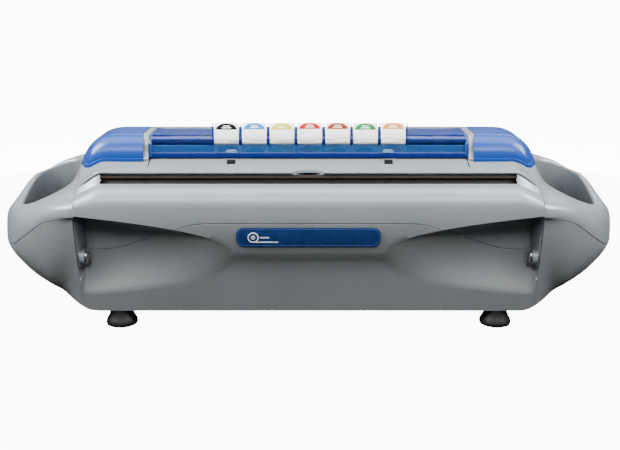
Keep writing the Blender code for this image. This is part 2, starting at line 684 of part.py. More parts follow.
def make_label_parts():
    """Spindle, label rolls, the strips drawn from them, the rod and the clips."""
    made = [rods("label_spindle", [(LABEL_Y, LABEL_Z)], 4.0, -112.5, 178.9, 20)]
    made[0].data.materials.clear()
    made[0].data.materials.append(material(*WHITE))
    rod = rods("label_rod", [(ROD_Y, ROD_Z)], ROD_R, -180.8, 180.8, 20)
    rod.data.materials.clear()
    rod.data.materials.append(material(*BLUE))
    made.append(rod)
    path = [(-30.8, 187), (-36, 197), (-43, 205.5), (-49.5, 210.9), (-53.4, 212.6), (-54.6, 215.6),
            (-54.2, 221), (-52, 228), (-49.3, 233), (-46.9, 235.3), (-45.1, 235.0)]
    for k in range(LABELS):
        x = FIRST_DIVIDER + (k + 0.5) * PITCH
        roll = turned(f"label_roll_{k + 1}", [(4.4, -LABEL_HALF), (LABEL_R, -LABEL_HALF),
                                              (LABEL_R, LABEL_HALF), (4.4, LABEL_HALF)], PAPER, 24)
        made.append(lay_along_x(roll, x, LABEL_Y, LABEL_Z))
        made.append(prisms(f"label_strip_{k + 1}", [(ribbon(path, 0.25), x - LABEL_HALF,
                                                     x + LABEL_HALF)], PAPER))
    for x, hand in ((-89.0, "left"), (92.0, "right")):
        outline = [deck_point(-69.7, -2.6), deck_point(-57.9, -2.6), deck_point(-57.9, -0.4),
                   deck_point(-69.7, -0.4)]
        made.append(prisms(f"tray_clip_{hand}", [(outline, x - 4.7, x + 4.7)], BLACK))
    for side, hand in ((-1, "left"), (1, "right")):
        ends = sorted((side * 177, side * 183.6))
        pin = rods(f"cover_pin_{hand}", [(COVER_Y, COVER_Z)], 1.5, *ends, 12)
        pin.data.materials.clear()
        pin.data.materials.append(material(*STEEL))
        made.append(pin)
    return made


def ribbon(path, half):
    """Closed outline of a thin strip along a path."""
    left, right = [], []
    for k, (y, z) in enumerate(path):
        a, b = path[max(0, k - 1)], path[min(len(path) - 1, k + 1)]
        size = math.hypot(b[0] - a[0], b[1] - a[1])
        ny, nz = -(b[1] - a[1]) / size * half, (b[0] - a[0]) / size * half
        left.append((y + ny, z + nz))
        right.append((y - ny, z - nz))
    return left + right[::-1]


def make_cutter():
    """Steel bar behind the film slot, and the toothed blade behind the bar."""
    bar = facet_plate("cutter_bar", 9.6, 13.7, 3.5, 4.8, 235.6, STEEL)
    teeth, count = [], 94
    for k in range(count + 1):
        x = -234 + 468 * k / count
        teeth.append((x, 10.2))
        if k < count:
            teeth.append((x + 234 / count, 11.6))
    outline = teeth + [(234, 13.4), (-234, 13.4)]
    rings = [[(x, *facet_point(s, depth)) for x, s in outline] for depth in (5.1, 5.7)]
    return [bar, loft("cutter_blade", rings, STEEL)]


def make_badge():
    """Thin plate with rounded ends that follows the bulge of the base's front."""
    rings = []
    for k in range(-12, 13):
        t = math.sin(math.radians(90) * k / 12)
        x = 81 * t
        end = max(0.0, (abs(x) - 72) / 9.0)
        half = 11.5 * math.sqrt(max(0.06, 1 - end * end))
        levels = [116.5 + half * u for u in (-1, -0.33, 0.33, 1)]
        ring = [(x, bulge_y(z) - 1.2, z) for z in levels]
        rings.append(ring + [(x, bulge_y(z) - 0.25, z) for z in reversed(levels)])
    return loft("badge_plate", rings, NAVY)


def joint_frame(obj, y, z, x=0.0):
    """Puts the piece's origin on its joint axis without moving its surface."""
    place(obj, -x, -y, -z)
    obj.location = Vector((x, y, z)) * MM


def build():
    lid, base = make_shells()
    make_domes(outer_body("dome_trim"))
    bpy.data.objects.remove(bpy.data.objects["dome_trim"])
    cut_lid(lid)
    cut_base(base)
    make_feet()
    make_cradles()
    make_badge()
    for side, hand in ((-1, "left"), (1, "right")):
        screw = make_screw(f"lid_pivot_screw_{hand}", 8.2, 4.0, 13.6, 2.8)
        lay_along_x(screw, side * 252.8, PIVOT_Y, PIVOT_Z, -side)
    make_cutter()
    make_tray()
    make_label_parts()
    make_film_roll()
    make_cover()
    for obj in list(bpy.data.objects):
        name = obj.name
        if name == "label_cover":
            joint_frame(obj, COVER_Y, COVER_Z)
        elif name.startswith(("roll_core", "film_wind", "roll_hub")):
            joint_frame(obj, ROLL_Y, ROLL_Z)
        elif name.startswith("label_roll"):
            joint_frame(obj, LABEL_Y, LABEL_Z, FIRST_DIVIDER + (int(name[-1]) - 0.5) * PITCH)
        elif name.startswith(("lid_shell", "end_dome", "cutter", "label", "tray", "cover_pin")):
            joint_frame(obj, PIVOT_Y, PIVOT_Z)
        obj.data.shade_smooth()
        obj.data.set_sharp_from_angle(angle=math.radians(30))


bpy.context.scene.unit_settings.length_unit = "MILLIMETERS"
for old in list(bpy.data.objects):
    bpy.data.objects.remove(old)
build()
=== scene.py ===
"""Visual model of a counter-top cling film dispenser, built over its CAD frame.

+X is to the right, -Y towards the user and +Z up. Sizes below are in millimetres and are turned
into metres when a mesh is made. The lid, base, domes and label parts are drawn again with the
frame's own profiles, finer and with their rounded rims; the inner parts keep their CAD shapes.
"""
import random
from contextlib import contextmanager
from math import cos, dist, exp, hypot, pi, radians, sin, sqrt

import bmesh
import bpy
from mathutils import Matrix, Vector


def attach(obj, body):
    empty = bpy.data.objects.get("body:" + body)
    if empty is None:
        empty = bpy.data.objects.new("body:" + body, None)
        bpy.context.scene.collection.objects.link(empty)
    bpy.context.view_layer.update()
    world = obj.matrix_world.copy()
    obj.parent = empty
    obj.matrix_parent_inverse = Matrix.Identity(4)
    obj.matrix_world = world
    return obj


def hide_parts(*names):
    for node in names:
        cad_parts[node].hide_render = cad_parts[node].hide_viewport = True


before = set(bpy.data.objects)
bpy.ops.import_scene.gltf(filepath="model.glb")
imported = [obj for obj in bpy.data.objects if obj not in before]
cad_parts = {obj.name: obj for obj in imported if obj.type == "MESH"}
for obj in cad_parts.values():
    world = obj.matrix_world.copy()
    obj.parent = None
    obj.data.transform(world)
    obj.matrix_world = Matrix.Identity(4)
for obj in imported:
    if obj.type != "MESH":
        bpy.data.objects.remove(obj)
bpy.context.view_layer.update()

MM = 0.001

# ---- sizes, the same as the frame's ---------------------------------------------------------
HALF_LENGTH, HALF_DEPTH, BODY_END = 370.0, 112.0, 240.0
WALL, SEAM = 3.0, 1.0
FLOOR_Z, WAIST_Z, BULGE_TOP_Z = 20.0, 137.0, 149.0
SCOOP_TIP, SCOOP_WALL, SCOOP_DEPTH = 87.0, 261.5, 27.0
ARM_BACK = 263.0
PIVOT_Y, PIVOT_Z, ARM_R = -92.0, 88.0, 12.0
LIP_Y, LIP_Z = -95.0, 172.5
DECK_Y, DECK_LIP_Z, DECK_Z = -87.0, 185.5, 196.0
SLOT_HALF = 235.0
HOLE_X, HOLE_Y, HOLE_HX, HOLE_HY = 313.5, 4.0, 29.5, 58.0
WAIST_RISE, CREST_Z = 2.6, 222.0
RIB_IN, RIB_OUT = 184.5, 197.5
PITCH, FIRST_DIVIDER, LABELS = 32.07, -110.7, 7
LABEL_Y, LABEL_Z, LABEL_HALF = -8.0, 182.0, 14.2
ROD_Y, ROD_Z, ROD_R = -49.6, 216.6, 3.5
COVER_Y, COVER_Z = 48.0, 203.0
TRAY_HALF, COVER_HALF = 181.2, 180.7
CLIP_PLACES = ((-89.0, "left"), (92.0, "right"))
BADGE_Z = 116.5
FOOT_X, FOOT_Y, STUD_HOLE_R = 222, 75, 3.3
CRADLE_SCREW_X, CRADLE_SCREW_YS, CRADLE_HOLE_R = 248.2, (-22, 32), 2.1
SCREW_HOLE_R, SPINDLE_HOLE_R, PIN_HOLE_R = 4.3, 4.3, 1.8

# ---- how many rows of points each part of a section has --------------------------------------
ROWS_PLINTH, ROWS_SCOOP, ROWS_BULGE, ROWS_LIP = 7, 18, 6, 9
ROWS_DECK, ROWS_CORNER, ROWS_REAR = 7, 9, 7
SEAM_ROW = ROWS_PLINTH + ROWS_SCOOP + 1
DECK_ROW = SEAM_ROW + ROWS_BULGE + ROWS_LIP + 1
TOP_ROW = DECK_ROW + ROWS_DECK


# ---- small helpers --------------------------------------------------------------------------
def mix(a, b, t):
    return a + (b - a) * t


def smooth(t):
    t = min(1.0, max(0.0, t))
    return t * t * (3 - 2 * t)


def curve(points, x):
    """Value at x of the smooth curve through (x, value) points."""
    if x <= points[0][0]:
        return points[0][1]
    for k in range(len(points) - 1):
        (x0, v0), (x1, v1) = points[k], points[k + 1]
        if x <= x1:
            xa, va = points[max(0, k - 1)]
            xb, vb = points[min(len(points) - 1, k + 2)]
            span, t = x1 - x0, (x - x0) / (x1 - x0)
            m0 = (v1 - va) / (x1 - xa) * span
            m1 = (vb - v0) / (xb - x0) * span
            return (
                (2 * t**3 - 3 * t**2 + 1) * v0 + (t**3 - 2 * t**2 + t) * m0
                + (3 * t**2 - 2 * t**3) * v1 + (t**3 - t**2) * m1
            )
    return points[-1][1]


def steps(start, stop, step):
    """Evenly spread values from start up to, but not including, stop."""
    count = max(1, round((stop - start) / step))
    return [start + (stop - start) * k / count for k in range(count)]


def is_flat(face):
    centre = face.calc_center_median()
    return all(abs((v.co - centre).dot(face.normal)) < 0.0005 * MM for v in face.verts)


@contextmanager
def edited(mesh):
    """The mesh as a bmesh, written back at the end."""
    bm = bmesh.new()
    bm.from_mesh(mesh)
    yield bm
    bm.to_mesh(mesh)
    bm.free()


def tidy(mesh, turn=False):
    """Merge what touches, split the faces that aren't flat and, if asked, turn them all outwards."""
    with edited(mesh) as bm:
        bmesh.ops.remove_doubles(bm, verts=bm.verts, dist=0.001 * MM)
        bmesh.ops.dissolve_degenerate(bm, edges=bm.edges, dist=0.001 * MM)
        bm.normal_update()
        bmesh.ops.triangulate(bm, faces=[f for f in bm.faces if len(f.verts) > 3 and not is_flat(f)])
        if turn:
            bmesh.ops.recalc_face_normals(bm, faces=bm.faces)


def show(name, data):
    """New object in the scene, from a mesh, light or camera."""
    obj = bpy.data.objects.new(name, data)
    bpy.context.scene.collection.objects.link(obj)
    return obj


def new_object(name, verts, faces, finish):
    mesh = bpy.data.meshes.new(name)
    mesh.from_pydata([Vector(v) * MM for v in verts], [], faces)
    tidy(mesh, turn=True)
    mesh.materials.append(finish)
    return show(name, mesh)


def skin(rows, n):
    """Quads that join each of the rows of n points to the next."""
    return [(a + k, a + (k + 1) % n, a + n + (k + 1) % n, a + n + k)
            for a in range(0, (rows - 1) * n, n) for k in range(n)]


def circle(y, z, radius, sides):
    return [(y + radius * cos(2 * pi * k / sides), z + radius * sin(2 * pi * k / sides))
            for k in range(sides)]


def loft(name, rings, finish):
    """Closed body through rings of (x, y, z) points, all the same length."""
    n = len(rings[0])
    verts = [p for ring in rings for p in ring]
    faces = [tuple(range(n)), tuple(range(len(verts) - n, len(verts)))]
    return new_object(name, verts, faces + skin(len(rings), n), finish)


def prism(name, outline, x0, x1, finish, edge=0.0):
    """Outline of (y, z) points drawn out along X; edge rounds off the rims of its ends."""
    if edge <= 0:
        return loft(name, [[(x, y, z) for y, z in outline] for x in (x0, x1)], finish)
    rims = ((0, edge), (0.3 * edge, 0.3 * edge), (edge, 0))
    places = [(x0 + t, inset) for t, inset in rims] + [(x1 - t, inset) for t, inset in reversed(rims)]
    return loft(name, [[(x, y, z) for y, z in inset_outline(outline, inset)] for x, inset in places], finish)


def inset_outline(outline, amount):
    """The outline drawn in towards its inside by an amount."""
    n = len(outline)
    area = sum(outline[k - 1][0] * outline[k][1] - outline[k][0] * outline[k - 1][1] for k in range(n))
    turn = 1.0 if area > 0 else -1.0
    made = []
    for k in range(n):
        (ya, za), (yb, zb), (yc, zc) = outline[k - 1], outline[k], outline[(k + 1) % n]
        a, b = Vector((za - zb, yb - ya)).normalized(), Vector((zb - zc, yc - yb)).normalized()
        inward = (a + b).normalized() * turn
        reach = min(1.5, 1 / max(0.3, abs(inward.dot(a))))
        made.append((yb + inward.x * amount * reach, zb + inward.y * amount * reach))
    return made


def round_path(points, radius, count=4):
    """Closed outline with its corners rounded off."""
    made, n = [], len(points)
    for k in range(n):
        a, p, b = Vector(points[k - 1]), Vector(points[k]), Vector(points[(k + 1) % n])
        reach = min(radius, 0.46 * (a - p).length, 0.46 * (b - p).length)
        p0, p1 = p + (a - p).normalized() * reach, p + (b - p).normalized() * reach
        for i in range(count + 1):
            t = i / count
            q = p0 * (1 - t) ** 2 + p * 2 * t * (1 - t) + p1 * t * t
            made.append((q.x, q.y))
    return made


def turned(name, profile, finish, sides, axis="Z"):
    """Body of revolution about Z, or about X, from (radius, height) points."""
    rings = [[(x, y, h) for x, y in circle(0, 0, r, sides)] for r, h in profile]
    verts = [p for ring in rings for p in ring]
    if axis == "X":
        verts = [(h, x, y) for x, y, h in verts]
    return new_object(name, verts, skin(len(rings), sides), finish)


def rod(name, y, z, radius, x0, x1, finish, sides=24):
    return prism(name, circle(y, z, radius, sides), x0, x1, finish)


def move(obj, x, y, z):
    for vertex in obj.data.vertices:
        vertex.co += Vector((x, y, z)) * MM
    return obj


def flip_x(obj, name):
    """Mirror image of a piece on the other side of the middle."""
    made = copy_of(obj, name)
    with edited(made.data) as bm:
        for vertex in bm.verts:
            vertex.co.x *= -1
        bmesh.ops.reverse_faces(bm, faces=bm.faces)
    return made


def copy_of(obj, name, shift=(0, 0, 0)):
    return move(show(name, obj.data.copy()), *shift)


def boolean(obj, other, operation="DIFFERENCE"):
    modifier = obj.modifiers.new("cut", "BOOLEAN")
    modifier.operation = operation
    modifier.solver = "EXACT"
    modifier.object = other
    bpy.context.view_layer.update()
    graph = bpy.context.evaluated_depsgraph_get()
    mesh = bpy.data.meshes.new_from_object(obj.evaluated_get(graph))
    obj.modifiers.clear()
    obj.data = mesh
    tidy(mesh)
    bpy.data.objects.remove(other)
    return obj


# ---- materials ------------------------------------------------------------------------------
def put(node, socket, value):
    node.inputs[socket].default_value = value


def join(output, socket):
    socket.id_data.links.new(output, socket)


def feed(value, socket):
    """Link an output to a socket, or set the socket to a number or a colour."""
    if hasattr(value, "is_linked"):
        join(value, socket)
    elif value is not None:
        socket.default_value = (*value, 1.0) if isinstance(value, tuple) else value


def start_material(name):
    made = bpy.data.materials.new(name)
    made.use_nodes = True
    tree = made.node_tree
    return made, tree, tree.nodes["Principled BSDF"]


def noise(tree, scale, detail=3.0, stretch=None):
    """A noise texture in the piece's own coordinates; stretch squeezes it along axes."""
    place = tree.nodes.new("ShaderNodeTexCoord")
    made = tree.nodes.new("ShaderNodeTexNoise")
    put(made, "Scale", scale)
    put(made, "Detail", detail)
    source = place.outputs["Object"]
    if stretch:
        mapping = tree.nodes.new("ShaderNodeMapping")
        put(mapping, "Scale", stretch)
        join(source, mapping.inputs["Vector"])
        source = mapping.outputs["Vector"]
    join(source, made.inputs["Vector"])
    return made.outputs["Fac"]


def ramp(tree, source, stops):
    """Colour ramp over (position, colour) stops."""
    made = tree.nodes.new("ShaderNodeValToRGB")
    elements = made.color_ramp.elements
    while len(elements) < len(stops):
        elements.new(0.5)
    for element, (position, colour) in zip(elements, stops):
        element.position = position
        element.color = (*colour, 1.0)
    join(source, made.inputs["Fac"])
    return made.outputs["Color"]


def blend_colours(tree, factor, a, b, how="MIX"):
    made = tree.nodes.new("ShaderNodeMix")
    made.data_type, made.blend_type = "RGBA", how
    for value, socket in ((factor, made.inputs["Factor"]), (a, made.inputs[6]), (b, made.inputs[7])):
        feed(value, socket)
    return made.outputs[2]


def roughness_from(tree, shader, source, low, high):
    spread = tree.nodes.new("ShaderNodeMapRange")
    put(spread, "To Min", low)
    put(spread, "To Max", high)
    join(source, spread.inputs["Value"])
    join(spread.outputs["Result"], shader.inputs["Roughness"])


def bump(tree, shader, source, strength, distance, bevel=0.0):
    made = tree.nodes.new("ShaderNodeBump")
    put(made, "Strength", strength)
    put(made, "Distance", distance)
    join(source, made.inputs["Height"])
    if bevel > 0:
        rounded = tree.nodes.new("ShaderNodeBevel")
        rounded.samples = 4
        put(rounded, "Radius", bevel)
        join(rounded.outputs["Normal"], made.inputs["Normal"])
    join(made.outputs["Normal"], shader.inputs["Normal"])


# Painted highlight mask: the edges it finds are painted paler.
def edge_highlight_mask(tree, radius):
    """Mask that is 1 along sharp edges, from how far a rounded normal leans from the true one."""
    rounded = tree.nodes.new("ShaderNodeBevel")
    rounded.samples = 4
    put(rounded, "Radius", radius)
    true = tree.nodes.new("ShaderNodeNewGeometry")
    dot = tree.nodes.new("ShaderNodeVectorMath")
    dot.operation = "DOT_PRODUCT"
    join(rounded.outputs["Normal"], dot.inputs[0])
    join(true.outputs["Normal"], dot.inputs[1])
    spread = tree.nodes.new("ShaderNodeMapRange")
    put(spread, "From Min", 0.985)
    put(spread, "From Max", 0.80)
    join(dot.outputs["Value"], spread.inputs["Value"])
    return spread.outputs["Result"]


def moulded_plastic(name, colour, light, low, high, metallic, bevel=0.0006):
    """Moulded plastic with a fine flake and faint mottling, painted shade from an ambient occlusion node in
    hollows and under overhangs, and painted highlights along sharp edges.
    """
    made, tree, shader = start_material(name)
    pale, dark = tuple(c * 1.05 for c in colour), tuple(c * 0.95 for c in colour)
    shade = ramp(tree, noise(tree, 9.0, 4.0), [(0.35, dark), (0.65, pale)])
    flake = noise(tree, 2600.0, 1.0)
    sparkle = ramp(tree, flake, [(0.40, (0.9, 0.9, 0.9)), (0.60, (1.1, 1.1, 1.1))])
    # Painted shade: an ambient occlusion node darkens the colour in hollows, creases, handle holes and under
    # overhangs.
    painted_shade_ao = tree.nodes.new("ShaderNodeAmbientOcclusion")
    painted_shade_ao.samples = 6
    put(painted_shade_ao, "Distance", 0.13)
    depth = ramp(tree, painted_shade_ao.outputs["AO"], [(0.2, (0.36, 0.36, 0.37)), (0.88, (1.0, 1.0, 1.0))])
    flaked = blend_colours(tree, 1.0, shade, sparkle, "MULTIPLY")
    shaded = blend_colours(tree, 1.0, flaked, depth, "MULTIPLY")
    # Painted highlight: sharp edges are mixed towards the paler light colour.
    edge_highlight = compute(tree, "MULTIPLY", edge_highlight_mask(tree, 0.0007), 0.35)
    join(blend_colours(tree, edge_highlight, shaded, light), shader.inputs["Base Color"])
    put(shader, "Metallic", metallic)
    put(shader, "Coat Weight", 0.12)
    put(shader, "Coat Roughness", 0.22)
    roughness_from(tree, shader, noise(tree, 60.0, 5.0), low, high)
    bump(tree, shader, noise(tree, 1500.0, 2.0), 0.10, 0.00012, bevel)
    return made


def clear_plastic(name, colour, transmission, low, high, alpha=1.0, specular=0.3):
    """Tinted clear moulding with slight waviness and a little haze."""
    made, tree, shader = start_material(name)
    haze = noise(tree, 40.0, 4.0)
    join(ramp(tree, haze, [(0.3, tuple(c * 0.95 for c in colour)), (0.7, colour)]), shader.inputs["Base Color"])
    put(shader, "Transmission Weight", transmission)
    put(shader, "Alpha", alpha)
    put(shader, "IOR", 1.46)
    put(shader, "Specular IOR Level", specular)
    roughness_from(tree, shader, haze, low, high)
    bump(tree, shader, noise(tree, 35.0, 2.0), 0.25, 0.0004)
    return made


def metal(name, colour, low, high, brushed=(1.0, 1.0, 1.0), scale=300.0):
    made, tree, shader = start_material(name)
    lines = noise(tree, scale, 3.0, brushed)
    join(ramp(tree, lines, [(0.3, tuple(c * 0.85 for c in colour)), (0.7, colour)]), shader.inputs["Base Color"])
    put(shader, "Metallic", 1.0)
    roughness_from(tree, shader, lines, low, high)
    bump(tree, shader, lines, 0.15, 0.00006, 0.0002)
    return made


def grained(name, colour, dark, scale, low, high, depth=0.0001, stretch=None, coat=0.0, specular=0.5):
    """Plain matt stuff: rubber, board, nylon or paper, by its grain."""
    made, tree, shader = start_material(name)
    grain = noise(tree, scale, 6.0, stretch)
    join(ramp(tree, grain, [(0.32, dark), (0.68, colour)]), shader.inputs["Base Color"])
    put(shader, "Coat Weight", coat)
    put(shader, "Specular IOR Level", specular)
    roughness_from(tree, shader, grain, low, high)
    bump(tree, shader, grain, 0.3, depth, 0.0003)
    return made


def compute(tree, operation, a, b=None, c=None):
    made = tree.nodes.new("ShaderNodeMath")
    made.operation = operation
    for value, socket in zip((a, b, c), made.inputs):
        feed(value, socket)
    return made.outputs[0]


def label_paper(name, colour, crest, lower):
    """White label paper, a half dot at its crest, a dot lower down and generic white bars."""
    made, tree, shader = start_material(name)
    place = tree.nodes.new("ShaderNodeUVMap")
    place.uv_map = "strip"
    split = tree.nodes.new("ShaderNodeSeparateXYZ")
    join(place.outputs["UV"], split.inputs["Vector"])
    u, v = split.outputs["X"], split.outputs["Y"]

    def calc(operation, *values):
        return compute(tree, operation, *values)

    def dot(centre, radius_u, radius_v):
        du = calc("DIVIDE", calc("SUBTRACT", u, 0.5), radius_u)
        dv = calc("DIVIDE", calc("SUBTRACT", v, centre), radius_v)
        return calc("LESS_THAN", calc("ADD", calc("MULTIPLY", du, du), calc("MULTIPLY", dv, dv)), 1.0)

    def bar(centre, half_u, half_v):
        return calc("MULTIPLY", calc("COMPARE", u, 0.5, half_u), calc("COMPARE", v, centre, half_v))

    half = calc("MULTIPLY", dot(crest, 0.43, 0.125), calc("GREATER_THAN", v, crest))
    whole = calc("MAXIMUM", half, dot(lower, 0.42, 0.15))
    bars = calc("MAXIMUM", bar(crest + 0.036, 0.19, 0.007), bar(crest + 0.070, 0.13, 0.007))
    inked = calc("MULTIPLY", whole, calc("SUBTRACT", 1.0, bars))
    fibre = noise(tree, 420.0, 6.0)
    paper = ramp(tree, fibre, [(0.3, (0.80, 0.80, 0.80)), (0.7, (0.90, 0.90, 0.89))])
    join(blend_colours(tree, inked, paper, colour), shader.inputs["Base Color"])
    roughness_from(tree, shader, fibre, 0.8, 0.9)
    put(shader, "Specular IOR Level", 0.1)
    bump(tree, shader, noise(tree, 110.0, 4.0), 0.5, 0.0012)
    return made


# Two silvers: the lid's grey is bluer, partly a painted blue cast from light through the clear blue parts; the
# base's grey is darker, partly its own tone and partly painted shade on the lower body.
SILVER = moulded_plastic("silver_plastic_lid", (0.172, 0.194, 0.208), (0.40, 0.43, 0.45), 0.30, 0.40, 0.15)
SILVER_BASE = moulded_plastic("silver_plastic_base", (0.166, 0.173, 0.179), (0.34, 0.36, 0.37),
                             0.32, 0.42, 0.15)
CRADLE = moulded_plastic("cradle_plastic", (0.30, 0.31, 0.32), (0.5, 0.5, 0.52), 0.4, 0.5, 0.2)
BLUE = clear_plastic("blue_clear", (0.02, 0.10, 0.45), 0.66, 0.04, 0.11)
# Painted shade: a darker copy of the clear blue for the tray's front flange band and the rod knobs.
BLUE_DEEP_SHADE = clear_plastic("blue_clear_deep_shade", (0.006, 0.020, 0.17), 0.35, 0.03, 0.07)
BLUE_BEAD = clear_plastic("blue_clear_bead", (0.009, 0.032, 0.24), 0.40, 0.02, 0.04, specular=1.0)
# Painted light: a paler copy of the clear blue for the tray's front wall.
BLUE_WALL_LIT = clear_plastic("blue_clear_wall_lit", (0.05, 0.24, 0.66), 0.70, 0.02, 0.05, 0.48)
BLUE_COVER = clear_plastic("blue_clear_cover", (0.010, 0.055, 0.32), 0.55, 0.04, 0.10, 0.80)
BLUE_DOME = clear_plastic("blue_clear_dome", (0.012, 0.065, 0.34), 0.40, 0.20, 0.30)
TAB = clear_plastic("clear_tab", (0.42, 0.60, 0.86), 0.75, 0.06, 0.14)
RUBBER = grained("black_rubber", (0.005, 0.005, 0.0052), (0.003, 0.003, 0.003), 700.0, 0.45, 0.6, 0.00005,
                 specular=0.2)
STEEL = metal("polished_steel", (0.62, 0.60, 0.57), 0.12, 0.24, (0.05, 1.0, 1.0), 900.0)
DARK_STEEL = metal("dark_steel", (0.030, 0.025, 0.021), 0.22, 0.36, (0.04, 1.0, 1.0), 600.0)
NYLON = grained("white_nylon", (0.82, 0.82, 0.80), (0.74, 0.74, 0.72), 500.0, 0.35, 0.5)
PAPER = grained("roll_paper", (0.86, 0.86, 0.84), (0.70, 0.70, 0.68),
                260.0, 0.6, 0.8, 0.0002, (8.0, 1.0, 1.0))
BOARD = grained("cardboard", (0.50, 0.37, 0.24), (0.40, 0.29, 0.18),
                180.0, 0.75, 0.9, 0.0003, (1.0, 4.0, 4.0))
FILM = grained("cling_film", (0.72, 0.77, 0.79), (0.60, 0.66, 0.69),
               40.0, 0.10, 0.22, 0.0006, (0.6, 6.0, 6.0), 0.6)
BLACK = grained("black_plastic", (0.003, 0.0026, 0.0024), (0.002, 0.002, 0.002), 300.0, 0.45, 0.6, 0.00001,
                specular=0.15)
NAVY = grained("navy_plate", (0.010, 0.030, 0.115), (0.007, 0.022, 0.09),
               120.0, 0.16, 0.28, 0.00003, None, 0.3)
NAVY_EDGE = grained("navy_edge", (0.035, 0.085, 0.26), (0.028, 0.07, 0.22),
                    120.0, 0.16, 0.28, 0.00003, None, 0.3)
WHITE_INK = grained("white_ink", (0.80, 0.81, 0.83), (0.70, 0.71, 0.73), 600.0, 0.35, 0.5)


# ---- the body's form; x is always the distance from the middle ------------------------------
def half_depth(x):
    t = min(1.0, max(0.0, (x - BODY_END) / (HALF_LENGTH - BODY_END)))
    return HALF_DEPTH * sqrt(max(0.004, 1 - t**2.2))


def crown_z(x):
    return curve([(225, 196), (238, 195), (262, 174), (275, 165), (299, 153), (320, 144.5),
                  (338, 139.5), (352, 136), (362, 128), (368, 119), (370, 113)], x)


def rear_rise(x):
    """How much higher the rear bar of a handle is than its front bar."""
    return curve([(262, 0), (275, 10), (287, 19), (300, 22.5), (319, 25), (335, 24), (348, 20),
                  (358, 13), (366, 5), (370, 0)], x)


def deck_end_z(x):
    """How much higher the top stays behind its front edge, where the front edge already falls."""
    return curve([(236, 0), (250, 9.5), (258, 16.5), (262, 18.5), (266, 15.5), (270, 10), (275, 4),
                  (280, 0)], x)


def keel_z(x):
    return curve([(248, FLOOR_Z), (256, 21.2), (263, 24.5), (278, 32.5), (303, 45), (325, 55.5),
                  (344, 68), (358, 82), (366, 92), (370, 98)], x)


def front_seam_z(x):
    return 94.0 + 39.0 * smooth((238 - x) / 123)


def end_seam_z(x):
    return curve([(262, 137), (280, 135.5), (298, 131), (312, 122), (331, 108), (347, 96),
                  (360, 91), (370, 90)], x)


def rear_seam_z(x):
    return mix(133.0, end_seam_z(x), smooth((x - 150) / 110))


def scoop_edges(x):
    s = min(1.0, max(0.0, (x - SCOOP_TIP) / (SCOOP_WALL - SCOOP_TIP)))
    return min(84.0, 95.0 - 52.0 * s**0.3), max(102.0, 95.0 + 46.0 * s**0.42)


def plinth_y(z):
    return -(88.0 + 0.19 * (z - FLOOR_Z))


def bulge_y(z):
    return -114.5 + 0.0039 * (z - 138.0) ** 2


def belly_y(z):
    """The front surface beside the scoops: the plinth, then a soft step out to the bulge."""
    return mix(plinth_y(z), bulge_y(z), smooth((z - 72) / 26))


def front_y(x, z, scooped=True):
    """The front surface of the middle part, scoops included, and the depth of the scoop there."""
    low, high = scoop_edges(x)
    s = (x - SCOOP_TIP) / (SCOOP_WALL - SCOOP_TIP)
    if z <= low or z >= high or s <= 0 or not scooped:
        return belly_y(z), 0.0
    t = (z - low) / (high - low)
    depth = SCOOP_DEPTH * smooth(s * 1.15) * 2.489 * t**1.15 * (1 - t) ** 0.42
    return mix(belly_y(low), belly_y(high), t) + depth, depth


DECK_FRONT = [(DECK_Y, DECK_LIP_Z), (-70, 191), (-55, 195.3), (-38, DECK_Z - 0.1), (-20, DECK_Z)]
REAR_WALL = [(133, HALF_DEPTH), (75, 110), (30, 104), (24.5, 102.4), (21.2, 99.5), (FLOOR_Z, 96)]


def trunk_section(x, scooped=True):
    """Closed (x, y, z) section of the middle part, from the bottom front up and over to the rear."""
    low, high = scoop_edges(x) if scooped else (60.0, WAIST_Z)
    levels = [mix(FLOOR_Z, low, k / ROWS_PLINTH) for k in range(ROWS_PLINTH + 1)]
    levels += [mix(low, high, (k + 1) / (ROWS_SCOOP + 1)) for k in range(ROWS_SCOOP)]
    levels += [mix(high, BULGE_TOP_Z, k / ROWS_BULGE) for k in range(ROWS_BULGE + 1)]
    points = []
    for z in levels:
        y, depth = front_y(min(x, SCOOP_WALL), z, scooped)
        if not scooped and z < WAIST_Z:
            y = -(111.5 - 23.0 * (1 - (z - FLOOR_Z) / (WAIST_Z - FLOOR_Z)) ** 1.35)
        points.append((x - 5.5 * depth / SCOOP_DEPTH * smooth((x - 255) / 6), y, z))
    start = bulge_y(BULGE_TOP_Z)
    for k in range(1, ROWS_LIP + 1):
        a = radians(90) * k / ROWS_LIP
        y = mix(LIP_Y, start, max(0.0, cos(a)) ** 1.15)
        points.append((x, y, mix(BULGE_TOP_Z, LIP_Z, sin(a))))
    for k in range(ROWS_DECK + 1):
        y = mix(DECK_Y, -20, k / ROWS_DECK)
        points.append((x, y, curve(DECK_FRONT, y)))
    points += [(x, 40, DECK_Z), (x, 68, DECK_Z - 1)]
    for k in range(1, ROWS_CORNER + 1):
        a = radians(90) * k / ROWS_CORNER
        points.append((x, mix(68, HALF_DEPTH, sin(a)), mix(150, DECK_Z - 1, cos(a))))
    points.append((x, HALF_DEPTH, 133))
    falling = [(-z, y) for z, y in REAR_WALL]
    points += [(x, curve(falling, -z), z) for z in (110, 75, 45, 30, 24.5, 21.2, FLOOR_Z)]
    fall = (crown_z(x) - BULGE_TOP_Z) / (DECK_Z - BULGE_TOP_Z)
    lift = (keel_z(x) - FLOOR_Z) / (WAIST_Z - FLOOR_Z)
    made = []
    for a, y, z in points:
        stay = deck_end_z(x) / (DECK_Z - BULGE_TOP_Z) * smooth((y + 83) / 40)
        if z > BULGE_TOP_Z:
            z = BULGE_TOP_Z + (z - BULGE_TOP_Z) * (fall + stay)
        else:
            z += lift * max(0.0, WAIST_Z - z)
        made.append((a, y, z))
    return made


